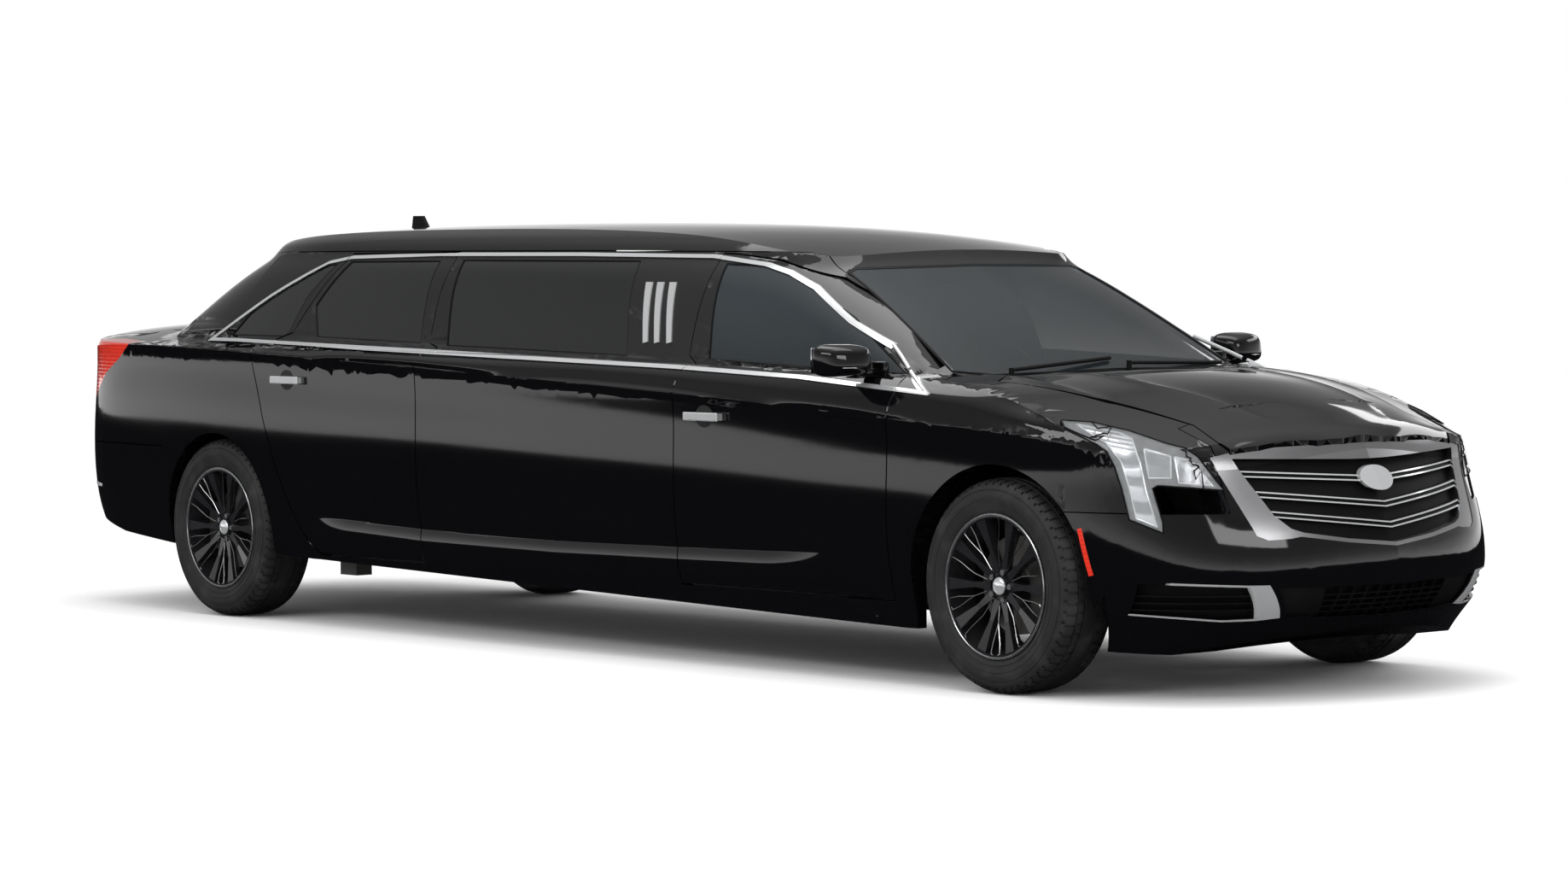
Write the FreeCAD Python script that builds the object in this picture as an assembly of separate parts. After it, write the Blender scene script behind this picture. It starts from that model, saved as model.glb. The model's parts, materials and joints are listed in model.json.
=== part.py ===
"""Stretch limousine: sedan body lengthened between the axles, four doors, hood, boot lid and four wheels.

Frame: origin on the ground under the middle of the car, X forward, Y to the left, Z up. Millimetres.
Places along the car are given by a station: 0 at the rear axle, 1 at the front axle, -1 at the tail, 2 at the nose.
"""
import FreeCAD
import Part
import math
import os

V = FreeCAD.Vector

# Overall sizes
LENGTH = 6928.0
WHEELBASE = 4615.0
FRONT_OVERHANG = 973.0
NOSE_ROUND = 12.0
HALF_WIDTH = 926.0
HEIGHT = 1566.0
REAR_OVERHANG = LENGTH - WHEELBASE - FRONT_OVERHANG
FRONT_AXLE = LENGTH / 2 - FRONT_OVERHANG
REAR_AXLE = FRONT_AXLE - WHEELBASE

# Walls and gaps
GAP = 6.0
SKIN = 28.0
LOWER_WALL = 105.0
UPPER_WALL = 42.0
OVERRUN = 400.0


def station(s):
    """Place along X of a station: -1 tail, 0 rear axle, 1 front axle, 2 nose."""
    if s > 1:
        return FRONT_AXLE + (s - 1) * (FRONT_OVERHANG + NOSE_ROUND)
    if s < 0:
        return REAR_AXLE + s * REAR_OVERHANG
    return REAR_AXLE + s * WHEELBASE


def wide(share):
    return share * HALF_WIDTH


def high(share):
    return share * HEIGHT


# Body outline from the front centre round the side to the rear centre.
# Columns: station, half width share, height share of the shoulder crease, rise share from crease to top edge.
BODY_SHARES = [
    (2.000, 0.000, 0.515, 0.075),
    (1.990, 0.150, 0.512, 0.075),
    (1.960, 0.360, 0.500, 0.080),
    (1.880, 0.578, 0.482, 0.085),
    (1.755, 0.762, 0.478, 0.092),
    (1.590, 0.872, 0.495, 0.098),
    (1.380, 0.945, 0.530, 0.098),
    (1.050, 0.988, 0.552, 0.100),
    (0.900, 0.993, 0.575, 0.100),
    (0.650, 0.994, 0.615, 0.080),
    (0.310, 0.997, 0.655, 0.064),
    (0.110, 1.000, 0.675, 0.056),
    (-0.100, 0.997, 0.690, 0.052),
    (-0.480, 0.965, 0.695, 0.050),
    (-0.760, 0.915, 0.690, 0.050),
    (-0.895, 0.800, 0.680, 0.052),
    (-0.965, 0.600, 0.676, 0.056),
    (-0.995, 0.300, 0.676, 0.060),
    (-1.000, 0.000, 0.676, 0.062),
]
BODY_FLOOR_SHARE = 0.083

# Rows of the body side from the bottom to the crease: height share between them, and insets at side, nose and tail.
SIDE_ROW_SHARES = [
    (0.00, 0.085, 0.260, 0.300),
    (0.12, 0.052, 0.190, 0.200),
    (0.25, 0.022, 0.035, 0.040),
    (0.45, 0.000, 0.000, -0.006),
    (0.70, 0.000, 0.040, 0.000),
    (0.90, 0.012, 0.125, 0.042),
    (1.00, 0.004, 0.165, 0.052),
]
# Rows from the crease inward over the shoulder: rise share and insets beyond the crease.
SHOULDER_ROW_SHARES = [
    (0.00, 0.000),
    (0.42, 0.014),
    (0.80, 0.060),
    (1.02, 0.140),
    (1.35, 0.300),
]
# Hood, belt and deck surface: station, centre height share, crown share
TOP_SHARES = [
    (2.15, 0.450, 0.150),
    (1.84, 0.528, 0.130),
    (1.60, 0.590, 0.165),
    (1.30, 0.640, 0.110),
    (1.00, 0.664, 0.050),
    (0.91, 0.676, 0.020),
    (0.70, 0.690, 0.020),
    (0.10, 0.715, 0.030),
    (-0.30, 0.735, 0.060),
    (-0.62, 0.742, 0.070),
    (-0.86, 0.737, 0.070),
    (-1.10, 0.722, 0.070),
]

# Greenhouse: base point and top point from the windshield centre to the rear window centre.
# Columns: base station, base half width, base height, top station, top half width, top height.
GLASSHOUSE_SHARES = [
    (0.921, 0.000, 0.672, 0.760, 0.000, 0.908),
    (0.920, 0.300, 0.672, 0.759, 0.260, 0.907),
    (0.917, 0.580, 0.669, 0.755, 0.520, 0.903),
    (0.905, 0.800, 0.658, 0.742, 0.672, 0.893),
    (0.868, 0.872, 0.640, 0.700, 0.706, 0.913),
    (0.760, 0.886, 0.645, 0.600, 0.716, 0.921),
    (0.550, 0.892, 0.670, 0.460, 0.722, 0.926),
    (0.300, 0.896, 0.692, 0.280, 0.724, 0.928),
    (0.120, 0.890, 0.706, 0.140, 0.718, 0.926),
    (-0.078, 0.868, 0.712, 0.040, 0.700, 0.920),
    (-0.361, 0.810, 0.712, -0.059, 0.630, 0.914),
    (-0.537, 0.700, 0.722, -0.161, 0.490, 0.922),
    (-0.601, 0.420, 0.736, -0.200, 0.280, 0.932),
    (-0.615, 0.000, 0.740, -0.210, 0.000, 0.938),
]
# Rows up the greenhouse: share from base to top, outward bulge share
GLASS_ROW_SHARES = [(-0.60, -0.030), (0.00, 0.000), (0.50, 0.036), (0.86, 0.026), (1.00, 0.000)]
# Rows from the top edge over the roof rail: inset and rise shares
RAIL_ROW_SHARES = [(0.000, 0.000), (0.028, 0.030), (0.090, 0.052), (0.300, 0.085)]

ROOF_SHARES = [
    (0.85, 0.880, 0.045),
    (0.75, 0.930, 0.045),
    (0.66, 0.974, 0.045),
    (0.52, 0.993, 0.042),
    (0.34, 1.000, 0.040),
    (0.14, 0.997, 0.040),
    (0.00, 0.984, 0.042),
    (-0.20, 0.952, 0.045),
    (-0.50, 0.890, 0.045),
]


def clamped(count, degree):
    """Knots and multiplicities of an open uniform spline with this many poles."""
    spans = count - degree
    return list(range(spans + 1)), [degree + 1] + [1] * (spans - 1) + [degree + 1]


def patch(rows):
    """One smooth face whose poles are the points of the rows."""
    up = min(3, len(rows) - 1)
    along = min(3, len(rows[0]) - 1)
    row_knots, row_mults = clamped(len(rows), up)
    col_knots, col_mults = clamped(len(rows[0]), along)
    surface = Part.BSplineSurface()
    surface.buildFromPolesMultsKnots(rows, row_mults, col_mults, row_knots, col_knots, False, False, up, along)
    return surface.toShape()


def mirrored(shape):
    return shape.mirror(V(0, 0, 0), V(0, 1, 0))


def outward(points, index):
    """Outward direction in plan of an outline that runs from the front centre round the left side to the rear."""
    if index == 0:
        return V(1, 0, 0)
    if index == len(points) - 1:
        return V(-1, 0, 0)
    run = points[index + 1] - points[index - 1]
    side = V(-run.y, run.x, 0) * -1
    return side.normalize() if side.y >= 0 or abs(side.x) > abs(side.y) else (side * -1).normalize()


def closed_body(half_patches, floor_level, roof_level):
    """Solid between two flat levels from patches of the left half."""
    faces = []
    for half in half_patches:
        faces += [half, mirrored(half)]
    shell = Part.makeShell(faces)
    shell.sewShape()
    caps = []
    for level in (floor_level, roof_level):
        rim = [e for e in shell.Edges if all(abs(v.Z - level) < 0.01 for v in e.Vertexes)
               and abs(e.BoundBox.ZMax - e.BoundBox.ZMin) < 0.01]
        caps.append(Part.Face(Part.Wire(Part.__sortEdges__(rim))))
    shell = Part.makeShell(faces + caps)
    shell.sewShape()
    solid = Part.Solid(shell)
    if solid.Volume < 0:
        solid.reverse()
    return solid


def body_points():
    return [V(station(s), wide(y), 0) for s, y, crease, rise in BODY_SHARES]


def body_block(inset=0.0):
    """Solid inside the body side from floor to well above the roof, its faces moved in by the inset."""
    plan = body_points()
    side_rows = []
    for fraction, at_side, at_nose, at_tail in SIDE_ROW_SHARES:
        row = []
        for index, (s, y, crease, rise) in enumerate(BODY_SHARES):
            out = outward(plan, index)
            end = at_nose if out.x > 0 else at_tail
            depth = wide(at_side * out.y ** 2 + end * out.x ** 2) + inset
            height = high(BODY_FLOOR_SHARE + fraction * (crease - BODY_FLOOR_SHARE))
            row.append(plan[index] - out * depth + V(0, 0, height))
        side_rows.append(row)
    shoulder_rows = []
    for fraction, depth_share in SHOULDER_ROW_SHARES:
        row = []
        for index, (s, y, crease, rise) in enumerate(BODY_SHARES):
            out = outward(plan, index)
            row.append(side_rows[-1][index] - out * wide(depth_share) + V(0, 0, high(rise * fraction)))
        shoulder_rows.append(row)
    lid_row = [V(p.x, p.y, high(1)) for p in shoulder_rows[-1]]
    flat_floor = [V(p.x, p.y, high(BODY_FLOOR_SHARE)) for p in side_rows[0]]
    side_rows[0] = flat_floor
    halves = [patch(side_rows), patch(shoulder_rows), patch([shoulder_rows[-1], lid_row])]
    return closed_body(halves, high(BODY_FLOOR_SHARE), high(1))


def crowned_sheet(shares, reach, drop, lift):
    """Solid above a crowned surface over the whole length, the surface moved down by the drop."""
    rows = []
    across = (-1.0, -0.6, -0.2, 0.2, 0.6, 1.0)
    for s, centre, crown in shares:
        row = [V(station(s), wide(reach * a), high(centre + crown / 5 - crown * a * a) - drop) for a in across]
        rows.append(row)
    face = patch(rows)
    return face.extrude(V(0, 0, lift))


def glasshouse_block(inset=0.0):
    """Solid inside the windows and pillars, from below the belt up past the roof."""
    low = [V(station(s), wide(y), high(z)) for s, y, z, s2, y2, z2 in GLASSHOUSE_SHARES]
    top = [V(station(s2), wide(y2), high(z2)) for s, y, z, s2, y2, z2 in GLASSHOUSE_SHARES]
    rows = []
    for fraction, bulge in GLASS_ROW_SHARES:
        row = []
        for index, foot in enumerate(low):
            out = outward(low, index)
            point = foot + (top[index] - foot) * fraction + out * (wide(bulge) - inset)
            row.append(point)
        rows.append(row)
    for depth_share, rise_share in RAIL_ROW_SHARES[1:]:
        row = []
        for index, head in enumerate(top):
            out = outward(top, index)
            row.append(head - out * (wide(depth_share) + inset) + V(0, 0, high(rise_share)))
        rows.append(row)
    floor_row = [V(p.x, p.y, high(BODY_FLOOR_SHARE)) for p in rows[0]]
    lid_row = [V(p.x, p.y, 2 * high(1)) for p in rows[-1]]
    halves = [patch([floor_row, rows[0]]), patch(rows), patch([rows[-1], lid_row])]
    return closed_body(halves, high(BODY_FLOOR_SHARE), 2 * high(1))


# Door, window and lid lines, as stations and height shares seen from the side
BELT_SHARES = [(-0.16, 0.713), (0.10, 0.712), (0.33, 0.700), (0.64, 0.676), (0.913, 0.629)]
SILL_SHARE = 0.183
DOOR_FRONT_SHARE = 0.889
DOOR_REAR_SHARE = 0.644
REAR_DOOR_FRONT_SHARE = 0.305
REAR_DOOR_REAR_SHARE = 0.066
WINDOW_TOP_SHARE = 0.922
WINDOW_FRONT_SHARE = 0.706
DOOR_SHEAR = 0.30
HINGE_IN = 18.0
HINGE_BACK = 60.0
HINGE_LEVEL = 0.42

# Wheels
TYRE_RADIUS = 358.0
TYRE_WIDTH = 235.0
RIM_RADIUS = 242.0
RIM_WIDTH = 215.0
TRACK = 1575.0
FRONT_ARCH_RADIUS = 404.0
REAR_ARCH_RADIUS = 382.0
HOUSE_RADIUS = 455.0
HOUSE_OUTER = 830.0
HOUSE_INNER = 430.0
KINGPIN_Y = 700.0
SPOKES = 10
HUB_BORE = 30.0
SHAFT_CLEARANCE = 0.05

# Glass
GLASS = 5.0
GLASS_SET = 4.0


def line_height(shares, s):
    """Height share on a line of station and height shares."""
    for (s0, z0), (s1, z1) in zip(shares, shares[1:]):
        if s <= s1:
            return z0 + (z1 - z0) * (s - s0) / (s1 - s0)
    return shares[-1][1]


def surface_y(z):
    """Half width of the side at a height, for the shear of the door cuts."""
    levels = [(0.0, 0.985), (0.60, 0.985), (0.70, 0.885), (0.94, 0.70), (2.0, 0.70)]
    share = z / HEIGHT
    for (z0, y0), (z1, y1) in zip(levels, levels[1:]):
        if share <= z1:
            return wide(y0 + (y1 - y0) * (share - z0) / (z1 - z0))


def face_of(points):
    return Part.Face(Part.makePolygon(points + [points[0]]))


def side_prism(outline, grow=0.0, shear=0.0, side=1):
    """Block through one side of the body from an outline of stations and height shares."""
    points = []
    for s, h in outline:
        x = station(s) + shear * (surface_y(high(h)) - wide(0.5))
        points.append(V(x, side * wide(0.5), high(h)))
    face = face_of(points)
    if grow:
        wire = face.OuterWire.makeOffset2D(grow, 2)
        face = Part.Face(wire)
    run = wide(0.75)
    return face.extrude(V(-shear * run, side * run, 0))


def outline_of_door(front, rear, roof_front, roof_rear, arch=None):
    """Door outline from the sill up the front edge, over the window frame and down the rear edge."""
    belt_front = line_height(BELT_SHARES, front)
    belt_rear = line_height(BELT_SHARES, rear)
    points = [(front, SILL_SHARE), (front, belt_front)]
    points += roof_front
    points += roof_rear
    points += [(rear, belt_rear)]
    points += arch or [(rear, SILL_SHARE)]
    return points


FRONT_DOOR = outline_of_door(
    DOOR_FRONT_SHARE, DOOR_REAR_SHARE,
    [(0.884, 0.668), (0.820, 0.790), (0.755, 0.872), (0.700, 0.912), (0.650, WINDOW_TOP_SHARE + 0.004)],
    [(0.634, WINDOW_TOP_SHARE + 0.005), (0.632, 0.700)])
REAR_DOOR = outline_of_door(
    REAR_DOOR_FRONT_SHARE, REAR_DOOR_REAR_SHARE,
    [(0.293, 0.712), (0.292, WINDOW_TOP_SHARE + 0.010)],
    [(0.137, WINDOW_TOP_SHARE + 0.006), (0.112, 0.820), (0.090, 0.730)],
    [(0.066, 0.640), (0.078, 0.520), (0.094, 0.420), (0.112, 0.320), (0.124, 0.262), (0.142, 0.200),
     (0.156, SILL_SHARE)])


def cylinder_y(radius, x, z, y0, y1):
    low = min(y0, y1)
    return Part.makeCylinder(radius, abs(y1 - y0), V(x, low, z), V(0, 1, 0))


def box(x0, x1, y0, y1, z0, z1):
    return Part.makeBox(x1 - x0, y1 - y0, z1 - z0, V(x0, y0, z0))


def wheel_houses():
    """Room for the wheels, wider inside the fender lip."""
    cuts = []
    for x, lip in ((FRONT_AXLE, FRONT_ARCH_RADIUS), (REAR_AXLE, REAR_ARCH_RADIUS)):
        for side in (1, -1):
            cuts.append(cylinder_y(lip, x, TYRE_RADIUS, side * HOUSE_OUTER, side * wide(1.1)))
            cuts.append(cylinder_y(HOUSE_RADIUS, x, TYRE_RADIUS, side * HOUSE_INNER, side * HOUSE_OUTER))
            cuts.append(box(x - lip, x + lip, min(side * HOUSE_INNER, side * wide(1.1)),
                            max(side * HOUSE_INNER, side * wide(1.1)), 0, TYRE_RADIUS))
    return cuts


def both(shape):
    """The piece and its twin on the other side, as one shape of separate solids."""
    return Part.makeCompound([shape, mirrored(shape)])


def fused(pieces):
    first = pieces[0]
    return first.fuse(pieces[1:]) if len(pieces) > 1 else first


def under_top(block, drop=0.0):
    return block.cut(crowned_sheet(TOP_SHARES, 1.05, drop, 2 * HEIGHT))


SKINS = {}


def skin_block(depth, end):
    """Nose or tail of the body with all its faces moved in by a depth, made once for each depth."""
    if (depth, end) not in SKINS:
        start = station(NOSE_START_SHARE) if end == "nose" else -LENGTH
        stop = LENGTH if end == "nose" else station(TAIL_START_SHARE)
        SKINS[depth, end] = under_top(body_block(depth), depth).common(box(start, stop, -LENGTH, LENGTH, 0, 2 * HEIGHT))
    return SKINS[depth, end]


NOSE_START_SHARE = 1.20
TAIL_START_SHARE = -0.40


def under_roof(block, drop=0.0):
    return block.cut(crowned_sheet(ROOF_SHARES, 0.95, drop, 2 * HEIGHT))


def plan_prism(points, z0, z1):
    """Upright block from a plan outline in millimetres, closed across the middle by its mirror image."""
    left = [V(x, y, z0) for x, y in points]
    right = [V(p.x, -p.y, z0) for p in reversed(left)]
    loop = left + [p for p in right if abs(p.y) > 0.01]
    return face_of(loop).extrude(V(0, 0, z1 - z0))


def profile_prism(points, y0, y1):
    """Block across the car from a side outline of stations and height shares."""
    face = face_of([V(station(s), y0, high(h)) for s, h in points])
    return face.extrude(V(0, y1 - y0, 0))


def front_prism(points, x0, x1):
    """Block along the car from a front outline of half width and height shares, mirrored across the middle."""
    left = [V(x0, wide(y), high(z)) for y, z in points]
    right = [V(p.x, -p.y, p.z) for p in reversed(left) if abs(p.y) > 0.01]
    return face_of(left + right).extrude(V(x1 - x0, 0, 0))


# Cut lines of the other panels
UNDERSIDE_SHARES = [
    (2.20, 0.075), (2.20, 0.140), (1.86, 0.140), (1.60, 0.098), (1.34, 0.104), (1.10, 0.124),
    (0.90, 0.124), (0.07, 0.172), (-0.10, 0.180), (-0.28, 0.176), (-0.60, 0.196), (-0.86, 0.236),
    (-1.10, 0.300), (-1.10, 0.075)]
HOOD_SHARES = [(0.935, 0.0), (0.932, 0.560), (0.958, 0.742), (1.20, 0.670), (1.56, 0.560), (1.700, 0.585),
               (1.729, 0.560), (1.761, 0.4507), (1.811, 0.2127), (1.824, 0.090), (1.826, 0.0)]
HOOD_LOWEST_SHARE = 0.500
LID_SHARES = [(-0.657, 0.0), (-0.653, 0.560), (-0.675, 0.690), (-0.785, 0.700), (-1.10, 0.690), (-1.10, 0.0)]
LID_LOWEST_SHARE = 0.560
LID_FRONT_SHARE = -0.70
BUMPER_LINE_SHARE = 0.392
REAR_BUMPER_LINE_SHARE = 0.430
FENDER_REAR_SHARE = 0.8925
ROOF_LINE_SHARES = [(0.738, 0.930), (0.70, 0.934), (0.46, 0.938), (0.14, 0.938), (0.02, 0.936), (-0.16, 0.928)]
WINDSHIELD_SHARES = [(0.0, 0.668), (0.585, 0.663), (0.715, 0.672), (0.600, 0.885), (0.560, 0.893), (0.0, 0.898)]
REAR_WINDOW_SHARES = [(0.0, 0.752), (0.560, 0.745), (0.600, 0.765), (0.430, 0.912), (0.0, 0.922)]
GRILLE_SHARES = [(0.0, 0.524), (0.610, 0.510), (0.600, 0.490), (0.400, 0.375), (0.330, 0.352), (0.0, 0.312)]
INTAKE_SHARES = [(0.0, 0.232), (0.400, 0.238), (0.430, 0.170), (0.0, 0.160)]
POCKET_SHARES = [(0.520, 0.270), (0.860, 0.270), (0.860, 0.205), (0.520, 0.195)]
POCKET_START_SHARE = 1.475
HEADLAMP_SHARES = [(-0.300, 0.582), (-0.202, 0.578), (-0.079, 0.561), (0.043, 0.536), (0.103, 0.527), (0.143, 0.510),
                   (0.226, 0.440), (0.123, 0.446), (0.014, 0.451), (-0.002, 0.445), (0.030, 0.378), (0.032, 0.354),
                   (-0.078, 0.381), (-0.102, 0.444), (-0.126, 0.490), (-0.150, 0.520), (-0.187, 0.536), (-0.285, 0.564)]
BLADE_SHARES = [(-0.255, 0.574), (-0.110, 0.556), (-0.070, 0.545), (-0.044, 0.500), (-0.024, 0.440), (0.012, 0.366),
                (-0.055, 0.383), (-0.078, 0.446), (-0.104, 0.500), (-0.150, 0.536)]
PROJECTOR_SHARES = [[(-0.030, 0.524), (0.056, 0.510), (0.056, 0.466), (-0.014, 0.466)],
                    [(0.068, 0.508), (0.118, 0.502), (0.190, 0.449), (0.082, 0.456)]]
TAIL_LAMP_SHARES = [(-0.500, 0.702), (-0.66, 0.706), (-1.10, 0.700), (-1.10, 0.520), (-0.86, 0.520), (-0.78, 0.560),
                    (-0.690, 0.615), (-0.586, 0.655)]
MARKER_SHARES = [(1.371, 0.359), (1.387, 0.361), (1.429, 0.2645), (1.412, 0.2616)]
REFLECTOR_SHARES = [(-0.835, 0.322), (-0.740, 0.318), (-0.745, 0.310), (-0.830, 0.312)]

# Grille and lower openings, as half width and height shares seen from the front
GRILLE_SHARES = [(0.0, 0.528), (0.21, 0.527), (0.45, 0.5235), (0.57, 0.516), (0.640, 0.507), (0.602, 0.4367),
                 (0.582, 0.3953), (0.557, 0.3469), (0.522, 0.3373), (0.440, 0.3395), (0.403, 0.343), (0.216, 0.3275),
                 (0.0, 0.3155)]
GRILLE_INNER_SHARES = [(0.0, 0.495), (0.10, 0.4955), (0.463, 0.502), (0.566, 0.5035), (0.511, 0.4303),
                       (0.480, 0.3868), (0.432, 0.3595), (0.390, 0.3510), (0.216, 0.3355), (0.0, 0.3235)]
GRILLE_BAR_SHARES = [(0.4806, 0.4600), (0.4418, 0.4080), (0.4035, 0.3655)]
GRILLE_BAR_REACH_SHARE = 0.60
GRILLE_BAR_STEP_SHARE = 0.0100
GRILLE_STRIP_SHARE = 0.0030
BOSS_SHARES = (0.081, 0.026, 0.456)
INTAKE_SHARES = [(0.0, 0.236), (0.300, 0.2375), (0.500, 0.240), (0.430, 0.178), (0.250, 0.172), (0.0, 0.170)]
INTAKE_PLATE_SHARES = [(0.31, 0.2375), (0.500, 0.240), (0.430, 0.178), (0.29, 0.174)]
POCKET_SHARES = [(0.528, 0.2455), (0.597, 0.2460), (0.800, 0.2520), (0.858, 0.2486), (0.852, 0.1824), (0.638, 0.1690),
                 (0.526, 0.1700), (0.446, 0.1745)]
CORNER_BLADE_SHARES = [(0.528, 0.2455), (0.597, 0.2460), (0.526, 0.1700), (0.446, 0.1745)]
POCKET_LINE_SHARES = [[(0.585, 0.2460), (0.800, 0.2520), (0.800, 0.2475), (0.585, 0.2415)],
                      [(0.526, 0.1700), (0.638, 0.1690), (0.852, 0.1824), (0.852, 0.1860), (0.638, 0.1730),
                       (0.526, 0.1745)]]

# Window openings from the side
BELT_RISE_SHARE = 0.010
FRONT_GLASS = [(0.868, 0.668), (0.655, 0.690), (0.643, 0.905), (0.700, 0.900), (0.745, 0.858), (0.800, 0.786)]
REAR_GLASS = [(0.281, 0.712), (0.128, 0.722), (0.115, 0.800), (0.141, 0.910), (0.272, 0.912)]
MIDDLE_GLASS = [(0.555, 0.694), (0.318, 0.708), (0.304, 0.914), (0.538, 0.912)]
QUARTER_GLASS = [(0.082, 0.722), (-0.036, 0.722), (0.022, 0.808), (0.098, 0.900), (0.122, 0.904), (0.098, 0.820)]


def hood_prism(grow=0.0):
    outline = [(station(s), wide(y)) for s, y in HOOD_SHARES]
    if grow:
        outline = [(x + (grow if s > 1.5 else -grow if s < 0.96 else 0), y + (grow if y else 0))
                   for (x, y), (s, share) in zip(outline, HOOD_SHARES)]
    return plan_prism(outline, high(HOOD_LOWEST_SHARE), high(0.9))


def lid_prism(grow=0.0):
    outline = [(station(s) + (grow if s > LID_FRONT_SHARE else 0), wide(y) + (grow if y else 0)) for s, y in LID_SHARES]
    return plan_prism(outline, high(LID_LOWEST_SHARE) - grow, high(0.9))


def diagonal_prism(outline):
    """Block across the front left corner from an outline of shares along and up the corner plane, in metres of
    half width and height."""
    corner = V(FRONT_AXLE + wide(0.594), wide(0.756), 0)
    along = V(1, -1, 0).normalize()
    out = V(1, 1, 0).normalize()
    start = corner - out * wide(0.30)
    face = face_of([start + along * (a * 1000) + V(0, 0, high(h)) for a, h in outline])
    return face.extrude(out * wide(0.8))


def body_shell():
    """Outer wall of the whole body, open below, with the wheel arches cut."""
    outer = under_top(body_block()).fuse(under_roof(glasshouse_block()))
    inner = under_top(body_block(LOWER_WALL), SKIN).fuse(under_roof(glasshouse_block(UPPER_WALL), SKIN))
    shell = outer.cut(inner)
    shell = shell.cut(wheel_houses())
    return shell.cut([profile_prism(UNDERSIDE_SHARES, -wide(1.1), wide(1.1))] + floor_tabs())


NODES = {}


def save(name, shape):
    NODES[name] = shape
    shape.exportStep("parts/%s.step" % name)


def largest(shape):
    return max(shape.Solids, key=lambda s: s.Volume)


def solids_over(shape, least):
    """The solids of a cut that are real pieces and no slivers."""
    keep = [s for s in shape.Solids if s.Volume > least]
    return keep[0] if len(keep) == 1 else Part.makeCompound(keep)


# Fixed panels
PANEL_GAP = 4.0
FASCIA_HALF_SHARE = 0.62
FASCIA_START_SHARE = 1.55
BUMPER_START_SHARE = 1.15
REAR_BUMPER_START_SHARE = -0.30
REAR_FASCIA_START_SHARE = -0.80
REAR_FASCIA_LINE_SHARE = 0.5545
HEADER_LINE_SHARE = 0.875
HEADER_HALF_SHARE = 0.61
CROSS_HALF_SHARE = 0.585
CROSS_LINE_SHARE = 0.60
SMALLEST_PIECE = 20000.0

# Floor and bulkheads
FLOOR_TOP = 300.0
FLOOR_PLATE = 24.0
BULKHEAD = 24.0
FIREWALL_SHARE = 0.875
SEAT_BULKHEAD_SHARE = -0.28
BOOT_FLOOR_TOP = 420.0
BULKHEAD_TOP = 900.0
TUNNEL_HALF = 160.0
KICK_TOP = 520.0
TUNNEL_TOP = 410.0
FIT = 0.3


def front_zone(start):
    return box(station(start), LENGTH, -LENGTH, LENGTH, -HEIGHT, 2 * HEIGHT)


def split(shell, zone, zone_with_gap):
    """The part of the shell in a zone, and the rest clear of it by a panel gap."""
    return solids_over(shell.common(zone), SMALLEST_PIECE), shell.cut(zone_with_gap)


def bumper_zone(gap):
    low = box(station(BUMPER_START_SHARE), LENGTH, -LENGTH, LENGTH, -HEIGHT, high(BUMPER_LINE_SHARE) + gap)
    centre = box(station(FASCIA_START_SHARE) - gap, LENGTH, -wide(FASCIA_HALF_SHARE) - gap,
                 wide(FASCIA_HALF_SHARE) + gap, -HEIGHT, HEIGHT)
    return low.fuse(centre)


def rear_bumper_zone(gap):
    low = box(-LENGTH, station(REAR_BUMPER_START_SHARE), -LENGTH, LENGTH, -HEIGHT,
              high(REAR_BUMPER_LINE_SHARE) + gap)
    centre = box(-LENGTH, station(REAR_FASCIA_START_SHARE) + gap, -LENGTH, LENGTH, -HEIGHT,
                 high(REAR_FASCIA_LINE_SHARE) + gap)
    return low.fuse(centre)


def roof_zone(gap):
    top = ROOF_LINE_SHARES + [(ROOF_LINE_SHARES[-1][0] - 0.5, ROOF_LINE_SHARES[-1][1]),
                              (ROOF_LINE_SHARES[-1][0] - 0.5, 1.2), (ROOF_LINE_SHARES[0][0] + 0.3, 1.2),
                              (ROOF_LINE_SHARES[0][0] + 0.3, ROOF_LINE_SHARES[0][1])]
    upper = profile_prism([(s, h - gap / HEIGHT) for s, h in top], -wide(1.1), wide(1.1))
    header = box(-LENGTH, LENGTH, -wide(HEADER_HALF_SHARE) - gap, wide(HEADER_HALF_SHARE) + gap,
                 high(HEADER_LINE_SHARE) - gap, 2 * HEIGHT)
    return upper.fuse(header)


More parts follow.
